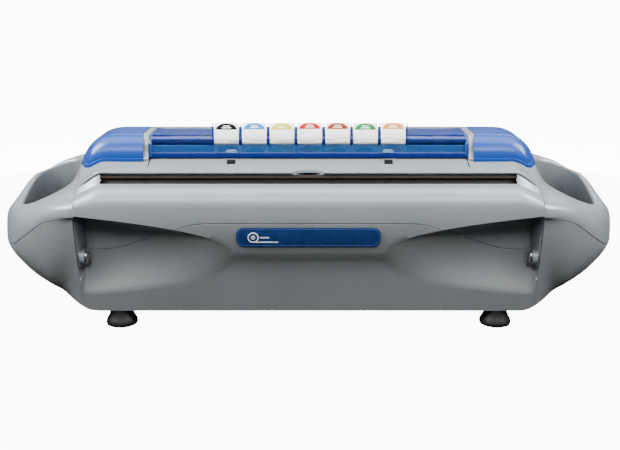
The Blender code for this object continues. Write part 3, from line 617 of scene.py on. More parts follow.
def quarter(y0, z0, y1, z1, count, steep):
    """Points of a quarter round from (y0, z0), leaving it along Z when steep, else along Y."""
    points = []
    for k in range(1, count + 1):
        a = radians(90) * k / count
        s, c = sin(a) ** 0.9, 1 - max(0.0, cos(a)) ** 0.85
        points.append((mix(y0, y1, c if steep else s), mix(z0, z1, s if steep else c)))
    return points


def end_section(x):
    """Closed section of an end block or handle."""
    depth, top, keel, seam = half_depth(x), crown_z(x), keel_z(x), end_seam_z(x) + WAIST_RISE
    block = []
    for _, y, z in trunk_section(0.0, scooped=False):
        y *= depth / HALF_DEPTH
        if z <= WAIST_Z:
            z = mix(keel, seam, (z - FLOOR_Z) / (WAIST_Z - FLOOR_Z))
        else:
            z = mix(seam, top, (z - WAIST_Z) / (DECK_Z - WAIST_Z))
        block.append((y, z))
    over, under = min(30.0, 0.5 * depth), min(40.0, 0.55 * depth)
    arm = [(-(depth - under), keel)]
    arm += quarter(-(depth - under), keel, -depth, seam, SEAM_ROW, False)
    arm += quarter(-depth, seam, -(depth - over), top, TOP_ROW - SEAM_ROW - 1, True)
    arm += [(-(depth - over) * 0.4, top), ((depth - over) * 0.4, top), (depth - over, top)]
    arm += quarter(depth - over, top, depth, seam, ROWS_CORNER + 1, False)
    arm += quarter(depth, seam, depth - under, keel, ROWS_REAR, True)
    blend = smooth((x - 263) / 40)
    points = []
    for a, b in zip(block, arm):
        y, z = mix(a[0], b[0], blend), mix(a[1], b[1], blend)
        lifted = rear_rise(x) * smooth((y + 50) / 100) + deck_end_z(x) * smooth((y + 83) / 40)
        z += lifted * max(0.0, (z - seam) / (top - seam))
        points.append((x, y, z))
    return points


def inset_section(section, x, wall=WALL):
    return [(x, y, z) for y, z in inset_outline([(b, c) for _, b, c in section], wall)]


def mirror(rings):
    left = [[(-x, y, z) for x, y, z in ring] for ring in reversed(rings) if ring[0][0] > 0]
    return left + rings


def outer_rings(start=0.0):
    step = 4.0
    trunk = [x for x in steps(0, 80, 20) + [80, 84] + steps(87, 105, step / 2) + steps(105, 250, step)
             if x >= start] + steps(250, SCOOP_WALL, step / 2) + [SCOOP_WALL]
    ends = steps(263, 345, step * 0.75) + [345, 350, 354, 358, 361, 363.5, 365.5, 367, 368.2, 369]
    rings = [trunk_section(x) for x in trunk] + [end_section(x) for x in ends]
    tip = end_section(370)
    middle = sum(p[2] for p in tip) / len(tip)
    for x, narrow, low in ((369.7, 0.88, 0.93), (370, 0.6, 0.75)):
        rings.append([(x, y * narrow, mix(middle, z, low)) for _, y, z in tip])
    return rings


def cavity(name):
    spread = steps(0, 80, 20) + steps(80, 250, 8) + steps(250, 264, 4)
    rings = [inset_section(trunk_section(x), x, mix(WALL, 4.0, smooth((x - 250) / 14))) for x in spread]
    rings.append(inset_section(trunk_section(266.4), 266.4, 4.0))
    for x in [266.6, 271] + steps(277, 340, 6) + [340, 348, 356]:
        outer = end_section(x + 3 * smooth((x - 300) / 60))
        rings.append(inset_section(outer, x, 4.0 if x < 280 else WALL))
    return loft(name, mirror(rings), SILVER)


def hole_outline(grow, count=48):
    """Rounded outline of the handle hole about its own x, grown by an amount."""
    points = []
    for k in range(count):
        a = 2 * pi * (k + 0.5) / count
        c, s = cos(a), sin(a)
        scale = (abs(c) ** 3.2 + abs(s) ** 3.2) ** (-1 / 3.2)
        points.append(((HOLE_HX + grow) * scale * c, HOLE_Y + (HOLE_HY + grow) * scale * s))
    return points


def surface_z(x, y, top):
    """Height of the handle's upper or lower surface over a point."""
    section = [(c, b) for _, b, c in end_section(min(368.0, max(263.0, x)))]
    return span_at(section, y)[int(top)]


def hole_cutter(name, grow, flare=0.0):
    """Upright cutter for the right handle hole, its ends flared so that the rims come out round."""
    spread = [flare * (1 - sin(radians(a))) for a in (90, 66, 46, 30, 16, 5)] if flare else []

    def ring(extra, top, height=None):
        made = []
        for dx, y in hole_outline(grow + extra):
            z = height
            if height is None:
                depth = flare - sqrt(max(0.0, flare**2 - (flare - extra) ** 2))
                z = surface_z(HOLE_X + dx, y, top) + (-depth if top else depth)
            made.append((HOLE_X + dx, y, z))
        return made

    rings = [ring(flare * 1.1, False, -20.0)] + [ring(e, False) for e in reversed(spread)]
    rings += [ring(e, True) for e in spread] + [ring(flare * 1.1, True, 280.0)]
    return loft(name, rings, SILVER)


def parting_solid(name, drop, spread):
    """Everything that belongs to the lid; drop lowers it, and spread widens the arms' slabs."""
    def ring(x, z_front, y_front, slope, z_rear):
        low, high = z_front - 6 * slope / 0.6, z_front + 4.2 * slope / 0.6
        outline = [(-160, low), (y_front - 10, low), (y_front + 7, high), (0, z_rear), (160, z_rear),
                   (160, 300), (-160, 300)]
        return [(x, y, z - drop if z < 299 else z) for y, z in outline]

    rings, step = [], 6
    for x in [0, 45, 80] + steps(103, 250, step) + [250, ARM_BACK + spread]:
        z = front_seam_z(x)
        rings.append(ring(x, z, front_y(min(x, 255), z)[0], 0.6, rear_seam_z(x)))
    for x in [ARM_BACK + spread + 0.02] + steps(269, 358, step) + [358, 364, 385]:
        slope = 0.6 * (1 - smooth((x - 296) / 24))
        rings.append(ring(x, end_seam_z(x), -half_depth(x), slope, end_seam_z(x)))
    return loft(name, mirror(rings), SILVER)


def both_sides(cut, other, operation="DIFFERENCE"):
    """One Boolean with a piece for the right side, then one with its mirror image."""
    left = flip_x(other, "left")
    boolean(cut, other, operation)
    return boolean(cut, left, operation)


def arm_slab(radius, x_back, wedge):
    turn = [radians(a) for a in range(180, 361, 6)]
    outline = [(PIVOT_Y + radius * cos(a), PIVOT_Z + radius * sin(a)) for a in turn]
    outline += [(PIVOT_Y + radius, 100), (PIVOT_Y - radius, 100)]
    solid = prism("arm_slab", outline, 253.0, x_back, SILVER)
    if wedge:
        outline = [(-80.2, 77), (-130, 29), (-130, 100), (-80.2, 100)]
        boolean(solid, prism("wedge", outline, 253.1, x_back - 0.01, SILVER), "UNION")
    return solid


def make_shells():
    solid = loft("solid", mirror(outer_rings()), SILVER)
    inner = cavity("inner")
    both_sides(inner, hole_cutter("grown_hole", 6.0))
    boolean(solid, inner)
    both_sides(solid, hole_cutter("hole", 0.0, 6.5))
    base = copy_of(solid, "base_skin")
    solid.name = "lid_skin"
    keep = parting_solid("keep", 0, 0)
    both_sides(keep, arm_slab(ARM_R, ARM_BACK - 0.03, False), "UNION")
    boolean(solid, keep, "INTERSECT")
    room = parting_solid("room", SEAM, SEAM)
    both_sides(room, arm_slab(ARM_R + 0.6, ARM_BACK + SEAM - 0.03, True), "UNION")
    boolean(base, room)
    return solid, base


def facet_point(along, depth):
    """(y, z) at a distance up the slot facet from its lower lip, and a depth behind it."""
    run, rise = DECK_Y - LIP_Y, DECK_LIP_Z - LIP_Z
    size = hypot(run, rise)
    u, v = run / size, rise / size
    return LIP_Y + along * u + depth * v, LIP_Z + along * v - depth * u


def facet_plate(name, low, high, front, back, half, finish, edge=0.0):
    outline = [facet_point(low, front), facet_point(high, front), facet_point(high, back),
               facet_point(low, back)]
    return prism(name, outline, -half, half, finish, edge)


def rib_outline(grow=0.0, foot=188.0):
    """Outline of a rib, of the tray's ends and of the domes, drawn in by a negative amount."""
    top = CREST_Z + grow
    return [(-58.5 - grow, foot), (-57 - grow, 204), (-54.5 - grow, 214), (-49 - grow * 0.7, top - 1.2),
            (-44, top), (16, top), (30 + grow * 0.4, top - 3.4), (43 + grow * 0.7, top - 9.5),
            (54 + grow, 204), (58 + grow, foot)]


def span_at(outline, z):
    """Front and rear y of an outline at a height."""
    found = []
    for k in range(len(outline)):
        (ya, za), (yb, zb) = outline[k - 1], outline[k]
        if za != zb and min(za, zb) <= z <= max(za, zb):
            found.append(mix(ya, yb, (z - za) / (zb - za)))
    return min(found), max(found)


def rib_rings(grow, inner_x):
    """Rings from a rib's foot to its crest: it leans out towards its foot, on a soft fillet."""
    outline = round_path(rib_outline(), 7.0, 6)
    rings = []
    for z in (188, 193, 196, 196.6, 197.5, 199, 201, 205, 209, 213, 216, 218.5, 220, 221, 221.6, 222):
        y0, y1 = span_at(outline, min(z, 221.95))
        lean = 8.5 * ((CREST_Z - z) / 26.0) ** 1.2 if z > 196 else 8.5
        fillet = 4.6 * max(0.0, 1 - (z - 196) / 9.0) ** 2 if z > 196 else 4.6
        edge = 1.4 * max(0.0, (z - 220.4) / 1.6) ** 2
        x0, x1 = inner_x + edge, RIB_OUT - 4 + lean + fillet - edge
        near = y0 - fillet + edge * 0.3
        corners = [(x0, near), (x1, near), (x1, y1 + fillet), (x0, y1 + fillet)]
        corners = [(x + (grow if x > 190 else -grow), y + (grow if y > 0 else -grow)) for x, y in corners]
        rings.append([(x, y, z + (grow if z > 221.9 else 0)) for x, y in round_path(corners, 3.2, 5)])
    return rings


def deck_z(y):
    return curve(DECK_FRONT, y)


def cut_lid(lid):
    """Ribs, bay, slot with its lips, thumb notch, clip windows, seams, bosses and screw holes."""
    both_sides(lid, loft("rib", rib_rings(0.0, RIB_IN), SILVER), "UNION")
    bay = round_path([(-51.3, 180), (36.4, 180), (36.4, 210), (-51.3, 210)], 0.8, 2)
    boolean(lid, prism("bay", bay, -181.7, 181.7, SILVER))
    bead = [trunk_section(x)[DECK_ROW] for x in steps(0, 216, 36) + steps(216, 261, 3) + [261.9]]
    rings = []
    for x, y, z in [(-px, py, pz) for px, py, pz in reversed(bead[1:])] + bead:
        size = mix(1.4, 2.7, smooth((abs(x) - 222) / 18)) * (1 - 0.6 * smooth((abs(x) - 250) / 12))
        rings.append([(x, y + size * cos(radians(a)), z - 0.35 + size * sin(radians(a)))
                      for a in range(7, 367, 30)])
    boolean(lid, loft("upper_lip", rings, SILVER), "UNION")
    y, z = facet_point(0.35, 0.35)
    boolean(lid, rod("lower_lip", y, z, 1.15, -SLOT_HALF - 1.5, SLOT_HALF + 1.5, SILVER, 14), "UNION")
    boolean(lid, facet_plate("slot", 1.2, 13.3, -4, 8, SLOT_HALF, SILVER))
    notch = []
    for k in range(17):
        t = k / 8 - 1
        reach = 0.2 + 4.6 * (1 - t * t) ** 0.5
        notch.append([(17.0 * t, *p) for p in ((DECK_Y - 6, 180), (DECK_Y + reach, 183.2),
                                               (DECK_Y + reach + 1.2, 191), (DECK_Y - 6, 196))])
    boolean(lid, loft("notch", notch, SILVER))
    for x, _ in CLIP_PLACES:
        outline = round_path([(-70.3, deck_z(-70.3) - 4), (-57.3, deck_z(-57.3) - 4),
                              (-57.3, deck_z(-57.3) + 4), (-70.3, deck_z(-70.3) + 4)], 0.8, 2)
        boolean(lid, prism("window", outline, x - 5.3, x + 5.3, SILVER))
    outline = [(-76, deck_z(-76) - 2.5), (-50, 193), (-50, 198), (-76, deck_z(-76) + 2)]
    both_sides(lid, prism("seam", outline, 182.6, 184.0, SILVER))
    both_sides(lid, rod("boss", PIVOT_Y, PIVOT_Z, 9.6, 256.0, 262.0, SILVER, 40), "UNION")
    both_sides(lid, rod("hole", PIVOT_Y, PIVOT_Z, SCREW_HOLE_R, 250, 268, SILVER, 24))
    return lid


def cut_base(base):
    both_sides(base, rod("hole", PIVOT_Y, PIVOT_Z, SCREW_HOLE_R, 255, 268, SILVER, 24))
    for x, places, radius in ((FOOT_X, (-FOOT_Y, FOOT_Y), STUD_HOLE_R),
                              (CRADLE_SCREW_X, CRADLE_SCREW_YS, CRADLE_HOLE_R)):
        for y in places:
            hole = turned("hole", [(0, 0), (radius, 0), (radius, 40), (0, 40)], SILVER, 20)
            both_sides(base, move(hole, x, y, 0))
    base.data.materials.clear()
    base.data.materials.append(SILVER_BASE)
    return base


DOME_FALL = [(190, 0.0), (222, 0.0), (236, 1.2), (247, 5.5), (254, 11.5), (259, 18), (263, 26), (266, 36),
             (268, 50)]


def dome_outline(grow, foot):
    """Outline of a dome: a rib's outline whose front swells forwards towards the deck."""
    return [(y - (5.0 * smooth((CREST_Z - z) / 18) if y < 0 else 0.0), z)
            for y, z in rib_outline(grow, foot)]


def dome_rings(inward, x_start, x_stop, grow=0.0):
    """Sections of a dome along X; it narrows and falls away towards the handle."""
    rings = []
    for x in steps(x_start, x_stop, 2.0) + [x_stop]:
        narrow = 1 - 0.10 * smooth((x - 250) / 20)
        outline = round_path(dome_outline(grow - inward, 150.0), 7.0, 5)
        fall = curve(DOME_FALL, x)
        rings.append([(x, y * narrow, max(150, z - fall)) for y, z in outline])
    return rings


def make_domes():
    """Clear end domes with a rim that follows the lid, cut away round the leaning rib."""
    block = loft("block", outer_rings(186.0), SILVER)
    dome = loft("dome_right", dome_rings(0.0, 190.0, 268.0), BLUE_DOME)
    rim = loft("rim", dome_rings(0.0, 190.0, 268.8, 1.3), BLUE_DOME)
    boolean(rim, copy_of(block, "raised", (0, 0, 3.4)), "INTERSECT")
    boolean(dome, rim, "UNION")
    boolean(dome, loft("inside", dome_rings(2.2, 180.0, 265.7), BLUE_DOME))
    boolean(dome, copy_of(block, "trim", (0, 0, 0.5)))
    bpy.data.objects.remove(block)
    boolean(dome, loft("clear_rib", rib_rings(0.45, 170.0), BLUE_DOME))
    return [dome, flip_x(dome, "dome_left")]


def make_cover():
    """Cover of the label tray: a flat top rolling down to a barrel at its hinge."""
    barrel = [(COVER_Y + 3 * cos(a), COVER_Z + 3 * sin(a))
              for a in [radians(d) for d in range(60, -181, -15)]]
    outline = [(-45, 219.6), (-45, CREST_Z), (15, CREST_Z), (29, 219), (41, 213)] + barrel
    outline += [(38.5, 211), (28, 216.6), (14, 219.6)]
    cover = prism("cover_skin", round_path(outline, 6.0, 5), -COVER_HALF, COVER_HALF, BLUE_COVER, 0.5)
    both_sides(cover, rod("hole", COVER_Y, COVER_Z, PIN_HOLE_R, 176, 200, BLUE_COVER, 16))
    return cover


def make_tray():
    """Trough with raised ends, a front wall with a ledge, and the compartment dividers."""
    outline = [(-56.5, 196.4), (-51, 196.4), (-51, 172), (-30.2, 158.5), (14, 158.5), (33, 170),
               (36, 182), (36, 196.4), (41, 196.4), (41, 198.4), (34, 198.4), (34, 182.5),
               (31.3, 171.2), (13.2, 160.5), (-29.5, 160.5), (-49, 173), (-49, 200), (-51.6, 202),
               (-51.6, 210.6), (-53.6, 210.6), (-53.6, 202), (-56.5, 202)]
    tray = prism("tray_skin", round_path(outline, 0.9, 3), -TRAY_HALF, TRAY_HALF, BLUE)
    plate = round_path([(-50, 172.5), (-29.8, 159.5), (13.6, 159.5), (32.2, 170.7), (35, 182), (35, 200),
                        (31, 210), (22, 215), (12, 218.6), (-43.5, 218.6), (-43.5, 211), (-50, 204)], 2.5, 3)
    for k in range(10):
        x = FIRST_DIVIDER + k * PITCH
        boolean(tray, prism("divider", plate, x - 0.6, x + 0.6, BLUE), "UNION")
    closing = [(-50, 172.5), (-29.8, 159.5), (13.6, 159.5), (32.2, 170.7), (35, 182), (35, 201), (-50, 201)]
    both_sides(tray, prism("closing", closing, 179.2, 181.35, BLUE), "UNION")
    end = round_path(rib_outline(-0.3, 196.5), 5.0, 5)
    both_sides(tray, prism("end", end, 181.1, 184.1, BLUE, 0.7), "UNION")
    boolean(tray, rod("hole", LABEL_Y, LABEL_Z, SPINDLE_HOLE_R, -150, 179, BLUE))
    boolean(tray, rod("hole", COVER_Y, COVER_Z, PIN_HOLE_R, -200, 200, BLUE, 16))
    tray.data.materials.clear()
    for finish in (BLUE, BLUE_DEEP_SHADE, BLUE_WALL_LIT):
        tray.data.materials.append(finish)
    # The tray is one moulding: its front flange band gets the darker blue as painted shade and its front wall
    # the paler blue as painted light.
    for face in tray.data.polygons:
        middle = face.center / MM
        if middle.y < -48.8 and abs(middle.x) < 181.0:
            face.material_index = 1 if middle.z < 202.4 else 2
    return tray


def make_fins():
    """Thin guides between the strips, each with a knob where the rod passes."""
    guides, knobs = [], []
    for k in range(LABELS + 1):
        x = FIRST_DIVIDER + k * PITCH
        low = [(-53.4, 211.2), (-46.4, 219.2), (-46.2, 231), (-47.6, 235.2), (-49.4, 235.6), (-51.6, 231.0)]
        guides.append(prism(f"strip_guide_{k + 1}", round_path(low, 2.0, 4), x - 0.55, x + 0.55, BLUE, 0.3))
        knob = [(-55.0, 212.4), (-45.6, 212.4), (-45.4, 219.3), (-47.8, 221.2), (-52.0, 221.4),
                (-55.2, 218.8)]
        knobs.append(prism(f"rod_knob_{k + 1}", round_path(knob, 2.2, 4), x - 1.5, x + 1.5, BLUE_DEEP_SHADE, 0.5))
        boolean(knobs[-1], rod("hole", ROD_Y, ROD_Z, ROD_R + 0.15, x - 9, x + 9, BLUE_DEEP_SHADE))
        boolean(guides[-1], copy_of(knobs[-1], "trim"))
        boolean(guides[-1], rod("hole", ROD_Y, ROD_Z, ROD_R + 0.2, x - 9, x + 9, BLUE_DEEP_SHADE))
    return guides, knobs


STRIP_PATH = [(-30.8, 187), (-36, 197), (-43, 205.5), (-49.5, 210.9), (-53.4, 212.6), (-54.6, 215.6),
              (-54.2, 221), (-52, 228), (-49.3, 233), (-46.9, 235.3), (-45.1, 235.0)]
LABEL_INKS = [(0.004, 0.004, 0.004), (0.002, 0.15, 0.42), (0.56, 0.46, 0.002), (0.34, 0.006, 0.005),
              (0.18, 0.035, 0.008), (0.003, 0.16, 0.035), (0.56, 0.17, 0.015)]


def along_path(t):
    """(y, z) and the outward direction at a share of the strip's length."""
    sizes = [dist(STRIP_PATH[k], STRIP_PATH[k + 1]) for k in range(len(STRIP_PATH) - 1)]
    places = [sum(sizes[:k]) for k in range(len(STRIP_PATH))]
    ys = [(s, p[0]) for s, p in zip(places, STRIP_PATH)]
    zs = [(s, p[1]) for s, p in zip(places, STRIP_PATH)]
    s = t * places[-1]
    y, z = curve(ys, s), curve(zs, s)
    a, b = max(0.0, s - 0.4), min(places[-1], s + 0.4)
    dy, dz = curve(ys, b) - curve(ys, a), curve(zs, b) - curve(zs, a)
    size = hypot(dy, dz)
    return y, z, -dz / size, dy / size


def make_strip(k, rng):
    """Strip of label paper drawn up over the tray's front wall and in front of the rod."""
    across, along, thick = 14, 48, 0.32
    tilt, crease, puff = rng.uniform(-0.35, 0.35), rng.uniform(0.60, 0.66), rng.uniform(0.25, 0.5)
    ripple = [(rng.uniform(0.5, 3.0), rng.uniform(0, 6.3), rng.uniform(0.03, 0.10)) for _ in range(4)]
    centre = FIRST_DIVIDER + (k + 0.5) * PITCH
    verts, faces, uvs = [], [], []
    for layer in (0, 1):
        for j in range(along + 1):
            t = j / along
            y, z, oy, oz = along_path(t)
            free = smooth((t - 0.50) / 0.12)
            for i in range(across + 1):
                u = i / across
                x = centre + (u - 0.5) * 2 * (LABEL_HALF - 0.15) + tilt * (t - 0.5) * free
                out = puff * sin(pi * u) * free
                out -= 0.55 * free * exp(-((t - crease - 0.02 * sin(5 * u + k)) / 0.018) ** 2)
                out += free * sum(a * sin(f * 6.3 * u + p + 9 * t) for f, p, a in ripple)
                out += (thick if layer else 0.0)
                verts.append((x, y + oy * out, min(z + oz * out, 235.4 + (0.08 if layer else 0.0))))
                uvs.append((u, t))
    n = (across + 1) * (along + 1)
    for j in range(along):
        for i in range(across):
            a = j * (across + 1) + i
            b, c, d = a + 1, a + across + 2, a + across + 1
            faces += [(a, b, c, d), (n + d, n + c, n + b, n + a)]
    for j in range(along):
        for a in (j * (across + 1), j * (across + 1) + across):
            faces.append((a, a + across + 1, n + a + across + 1, n + a))
    for i in range(across):
        for a in (i, along * (across + 1) + i):
            faces.append((a, a + 1, n + a + 1, n + a))
    mesh = bpy.data.meshes.new(f"strip_{k + 1}")
    mesh.from_pydata([Vector(v) * MM for v in verts], [], faces)
    layer = mesh.uv_layers.new(name="strip")
    for loop in mesh.loops:
        layer.data[loop.index].uv = uvs[loop.vertex_index]
    with edited(mesh) as bm:
        bmesh.ops.recalc_face_normals(bm, faces=bm.faces)
    obj = show(f"strip_{k + 1}", mesh)
    crest = 0.835 + 0.012 * rng.uniform(-1, 1)
    lower = 0.25 + 0.05 * rng.uniform(-1, 1)
    mesh.materials.append(label_paper(f"strip_paper_{k + 1}", LABEL_INKS[k], crest, lower))
    return obj


def make_clip(name, x):
    """Dark catch in a deck window, the window's pale rim, and a clear tab above it."""
    def frame_of(front, back, low, high, radius=0.0):
        corners = ((front, low), (back, low), (back, high), (front, high))
        outline = [(y, deck_z(y) + rise) for y, rise in corners]
        return round_path(outline, radius, 3) if radius else outline

    y0, y1 = -69.7, -57.9
    catch = prism(f"{name}_catch", frame_of(y0, y1, -2.6, -0.5, 0.5), x - 4.7, x + 4.7, BLACK, 0.4)
    rim = frame_of(y0 - 1.5, y1 + 1.2, -1.0, 0.45, 0.35)
    rim = prism(f"{name}_rim", rim, x - 6.4, x + 6.4, SILVER, 0.4)
    boolean(rim, prism("gap", frame_of(y0 - 0.3, y1 + 0.3, -6, 6), x - 5.1, x + 5.1, SILVER))
    tab = []
    for k in range(13):
        t = k / 6 - 1
        top = 202.3 + 3.6 * (1 - t**4) ** 0.5
        ring = [(-56.6, 202.1), (-53.7, 202.1), (-53.7, top - 0.3), (-54.3, top), (-55.8, top),
                (-56.6, top - 0.5)]
        tab.append([(x + 6.8 * t, y, z) for y, z in ring])
    return catch, rim, loft(f"{name}_tab", tab, TAB)


def badge_outline(shrink):
    """Half heights of the badge from end to end."""
    made = []
    for k in range(-24, 25):
        t = sin(radians(90) * k / 24)
        x = (81 - shrink) * t
        end = max(0.0, (abs(x) - (72 - shrink * 0.4)) / (9.0 - shrink * 0.6))
        made.append((x, (11.5 - shrink) * max(0.02, 1 - end**2.6) ** 0.42))
    return made


def plate_on_bulge(name, pairs, back, front, finish, middle=BADGE_Z, rows=6):
    """Thin plate that follows the bulge, from (x, half height) pairs."""
    rings = []
    for x, half in pairs:
        levels = [middle + half * (2 * r / rows - 1) for r in range(rows + 1)]
        ring = [(x, bulge_y(z) - front, z) for z in levels]
        rings.append(ring + [(x, bulge_y(z) - back, z) for z in reversed(levels)])
    return loft(name, rings, finish)


def make_badge():
    """Blank name plate with a thin keyline and a plain mark of a roll and its sheet."""
    plate = plate_on_bulge("badge_skin", badge_outline(0.0), 0.25, 1.15, NAVY)
    line = plate_on_bulge("badge_keyline", badge_outline(1.2), 0.9, 1.3, NAVY_EDGE)
    boolean(line, plate_on_bulge("inside", badge_outline(1.9), -2, 5, NAVY_EDGE))
    boolean(line, copy_of(plate, "trim"))
    marks, back, front, sides = [], 1.05, 1.35, 40
    for radii in ((6.2, 5.0), (2.2, 1.2)):
        verts = [(x, bulge_y(BADGE_Z + z) - out, BADGE_Z + z) for out in (back, front)
                 for r in radii for x, z in circle(-62, 0, r, sides)]
        faces = []
        for a in range(sides):
            b = (a + 1) % sides
            for p, q in ((0, 1), (2, 3), (0, 2), (1, 3)):
                faces.append((sides * p + a, sides * p + b, sides * q + b, sides * q + a))
        marks.append(new_object(f"badge_mark_{len(marks) + 1}", verts, faces, WHITE_INK))
    for z, places in ((-5.6, (-60, -50, -40, -34)), (0.0, (-54.5, -50, -44))):
        name, pairs = f"badge_mark_{len(marks) + 1}", [(x, 0.6) for x in places]
        marks.append(plate_on_bulge(name, pairs, back, front, WHITE_INK, BADGE_Z + z, 2))
    return [plate, line] + marks


def make_pivot_screw():
    """Round-headed screw with a cross recess, its axis along X."""
    head = [(0, -13.6), (3.4, -13.6), (4.0, -12.8), (4.0, -2.8), (8.2, -2.8), (8.3, -2.0), (7.9, -1.1),
            (6.8, -0.35), (5.0, 0.0), (0, 0.0)]
    screw = turned("pivot_screw_right", [(r, -h) for r, h in head], STEEL, 40, "X")
    for a, b in ((5.0, 1.1), (1.1, 5.0)):
        rings = [[(x, y * s, z * s) for y, z in ((-a, -b), (a, -b), (a, b), (-a, b))]
                 for x, s in ((-2, 1.15), (0, 1.0), (1.7, 0.55))]
        boolean(screw, loft("recess", rings, STEEL))
    return move(screw, 252.8, PIVOT_Y, PIVOT_Z)


def make_foot(name, x, y):
    profile = [(0, 1.5), (10, 1.5), (12.4, 0.1), (16.6, 0.0), (17.7, 0.5), (18.4, 1.7), (18.7, 3.0),
               (18.6, 4.4), (18.2, 5.8), (17.4, 7.5), (16.4, 9.2), (15.3, 11.2), (14.3, 13.4), (13.6, 15.8),
               (13.2, 18.0), (13.0, 19.7), (3, 19.7), (3, 25.2), (2.6, 25.5), (0, 25.5)]
    return move(turned(name, profile, RUBBER, 56), x, y, 0)


def place_piece(obj, body, nodes, angle=30):
    """Smooth shading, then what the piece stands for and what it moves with."""
    obj.data.shade_smooth()
    obj.data.set_sharp_from_angle(angle=radians(angle))
    if nodes:
        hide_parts(*nodes)
    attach(obj, body)


def build():
    lid, base = make_shells()
    domes = make_domes()
    place_piece(cut_lid(lid), "lid", ["lid_shell"])
    place_piece(cut_base(base), "base", ["base_shell"])
    for dome, hand in zip(domes, ("right", "left")):
        place_piece(dome, "lid", [f"end_dome_{hand}"])
    place_piece(make_cover(), "label_cover", ["label_cover"])
    place_piece(make_tray(), "lid", ["label_tray"])
    for group in make_fins():
        for obj in group:
            place_piece(obj, "lid", [])
    # Painted shade: a dark plate set back behind the slot, so the slot shows dark along its length.
    shade_plate = facet_plate("slot_shade_plate", 2.8, 13.4, 7.2, 8.0, SLOT_HALF + 0.5, BLACK, 0.2)
    place_piece(shade_plate, "lid", [])
    bead = rod("rod_skin", ROD_Y, ROD_Z, ROD_R, -180.8, 180.8, BLUE_BEAD, 48)
    place_piece(bead, "lid", ["label_rod"])
    rng = random.Random(7)
    for k in range(LABELS):
        place_piece(make_strip(k, rng), "lid", [f"label_strip_{k + 1}"], 60)
    for x, hand in CLIP_PLACES:
        catch, rim, tab = make_clip(f"window_{hand}", x)
        place_piece(catch, "lid", [f"tray_clip_{hand}"])
        place_piece(rim, "lid", [])
        place_piece(tab, "lid", [])
    for k, obj in enumerate(make_badge()):
        place_piece(obj, "base", ["badge_plate"] if k == 0 else [])
    screw = make_pivot_screw()
    for obj, hand in ((screw, "right"), (flip_x(screw, "pivot_screw_left"), "left")):
        place_piece(obj, "base", [f"lid_pivot_screw_{hand}"])
    for x, hand in ((-FOOT_X, "left"), (FOOT_X, "right")):
        for y, end in ((-FOOT_Y, "front"), (FOOT_Y, "rear")):
            foot = make_foot(f"foot_{end}_{hand}", x, y)
            place_piece(foot, "base", [f"suction_foot_{end}_{hand}"])


CARRIED = {"roll_cradle": CRADLE, "cradle_screw": STEEL, "roll_core": BOARD, "film_wind": FILM,
           "roll_hub": NYLON, "cutter_bar": DARK_STEEL, "cutter_blade": STEEL, "label_spindle": NYLON,
           "cover_pin": STEEL, "label_roll": PAPER}


def dress_carried_nodes():
    """New materials for the CAD nodes that are shown as they are."""
    for name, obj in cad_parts.items():
        for start, finish in CARRIED.items():
            if name.startswith(start):
                for k in range(len(obj.material_slots)):
                    obj.material_slots[k].material = finish


FLOOR_GLOW = 11.0
WORLD_STOPS = [(0.0, (0.01, 0.01, 0.01)), (0.45, (0.03, 0.03, 0.032)), (0.58, (0.34, 0.35, 0.36)),
               (1.0, (0.62, 0.63, 0.64))]
SOFTBOXES = [("top_box", (0.0, -0.20, 1.6), (2.2, 0.9), 46), ("front_box", (0.0, -1.7, 1.5), (2.4, 0.5), 44),
             ("back_box", (0.3, 1.5, 1.2), (2.0, 0.6), 10), ("left_box", (-1.5, -0.6, 1.5), (0.8, 0.8), 100),
             ("right_box", (1.5, -0.6, 1.5), (0.8, 0.8), 76)]


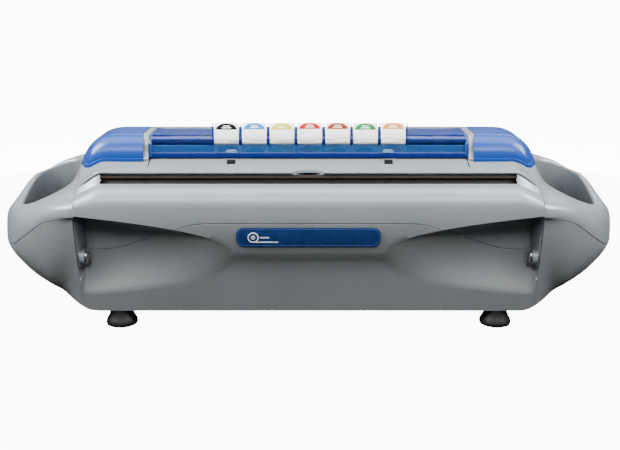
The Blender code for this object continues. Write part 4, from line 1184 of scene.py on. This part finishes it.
def make_stage():
    """Pale round floor that sweeps up into a wall; it shows, but throws no light on the object."""
    profile = [(1.0, 0.0), (2.4, 0.0)]
    profile += [(2.4 + 1.2 * sin(radians(a)), 1.2 - 1.2 * cos(radians(a))) for a in range(10, 91, 10)]
    profile.append((3.6, 6.0))
    sides = 96
    verts = [(x, y, z - 0.0003) for r, z in profile for x, y in circle(0, 0, r, sides)]
    mesh = bpy.data.meshes.new("floor")
    mesh.from_pydata(verts, [], [tuple(range(sides))] + skin(len(profile), sides))
    obj = show("floor", mesh)
    mesh.shade_smooth()
    made, tree, shader = start_material("pale_floor")
    greys = [(0.3, (0.86, 0.86, 0.86)), (0.7, (0.89, 0.89, 0.89))]
    join(ramp(tree, noise(tree, 1.5, 2.0), greys), shader.inputs["Base Color"])
    put(shader, "Roughness", 0.8)
    put(shader, "Specular IOR Level", 0.2)
    put(shader, "Emission Color", (1.0, 1.0, 1.0, 1.0))
    put(shader, "Emission Strength", FLOOR_GLOW)
    mesh.materials.append(made)
    obj.visible_diffuse = obj.visible_glossy = obj.visible_transmission = obj.visible_shadow = False


def softbox(name, place, aim, size, power, colour=(1, 1, 1)):
    data = bpy.data.lights.new(name, "AREA")
    data.shape = "RECTANGLE"
    data.size, data.size_y = size
    data.energy, data.color = power, colour
    obj = show(name, data)
    obj.location = place
    obj.rotation_euler = (Vector(aim) - Vector(place)).to_track_quat("-Z", "Y").to_euler()


def light_and_camera():
    world = bpy.data.worlds.new("studio")
    world.use_nodes = True
    tree = world.node_tree
    place = tree.nodes.new("ShaderNodeTexCoord")
    split = tree.nodes.new("ShaderNodeSeparateXYZ")
    join(place.outputs["Generated"], split.inputs["Vector"])
    height = compute(tree, "MULTIPLY_ADD", split.outputs["Z"], 0.5, 0.5)
    join(ramp(tree, height, WORLD_STOPS), tree.nodes["Background"].inputs["Color"])
    bpy.context.scene.world = world
    for name, place, size, power in SOFTBOXES:
        softbox(name, place, (0, 0, 0.12), size, power)
    target, distance, pitch = Vector((0.0017, 0.0, 0.1007)), 1.130, radians(15)
    data = bpy.data.cameras.new("camera")
    data.lens, data.sensor_width, data.clip_start = 52.72, 36.0, 0.01
    camera = show("camera", data)
    camera.location = target + distance * Vector((0, -cos(pitch), sin(pitch)))
    camera.rotation_euler = (radians(90) - pitch, 0, 0)
    bpy.context.scene.camera = camera


build()
dress_carried_nodes()
make_stage()
light_and_camera()
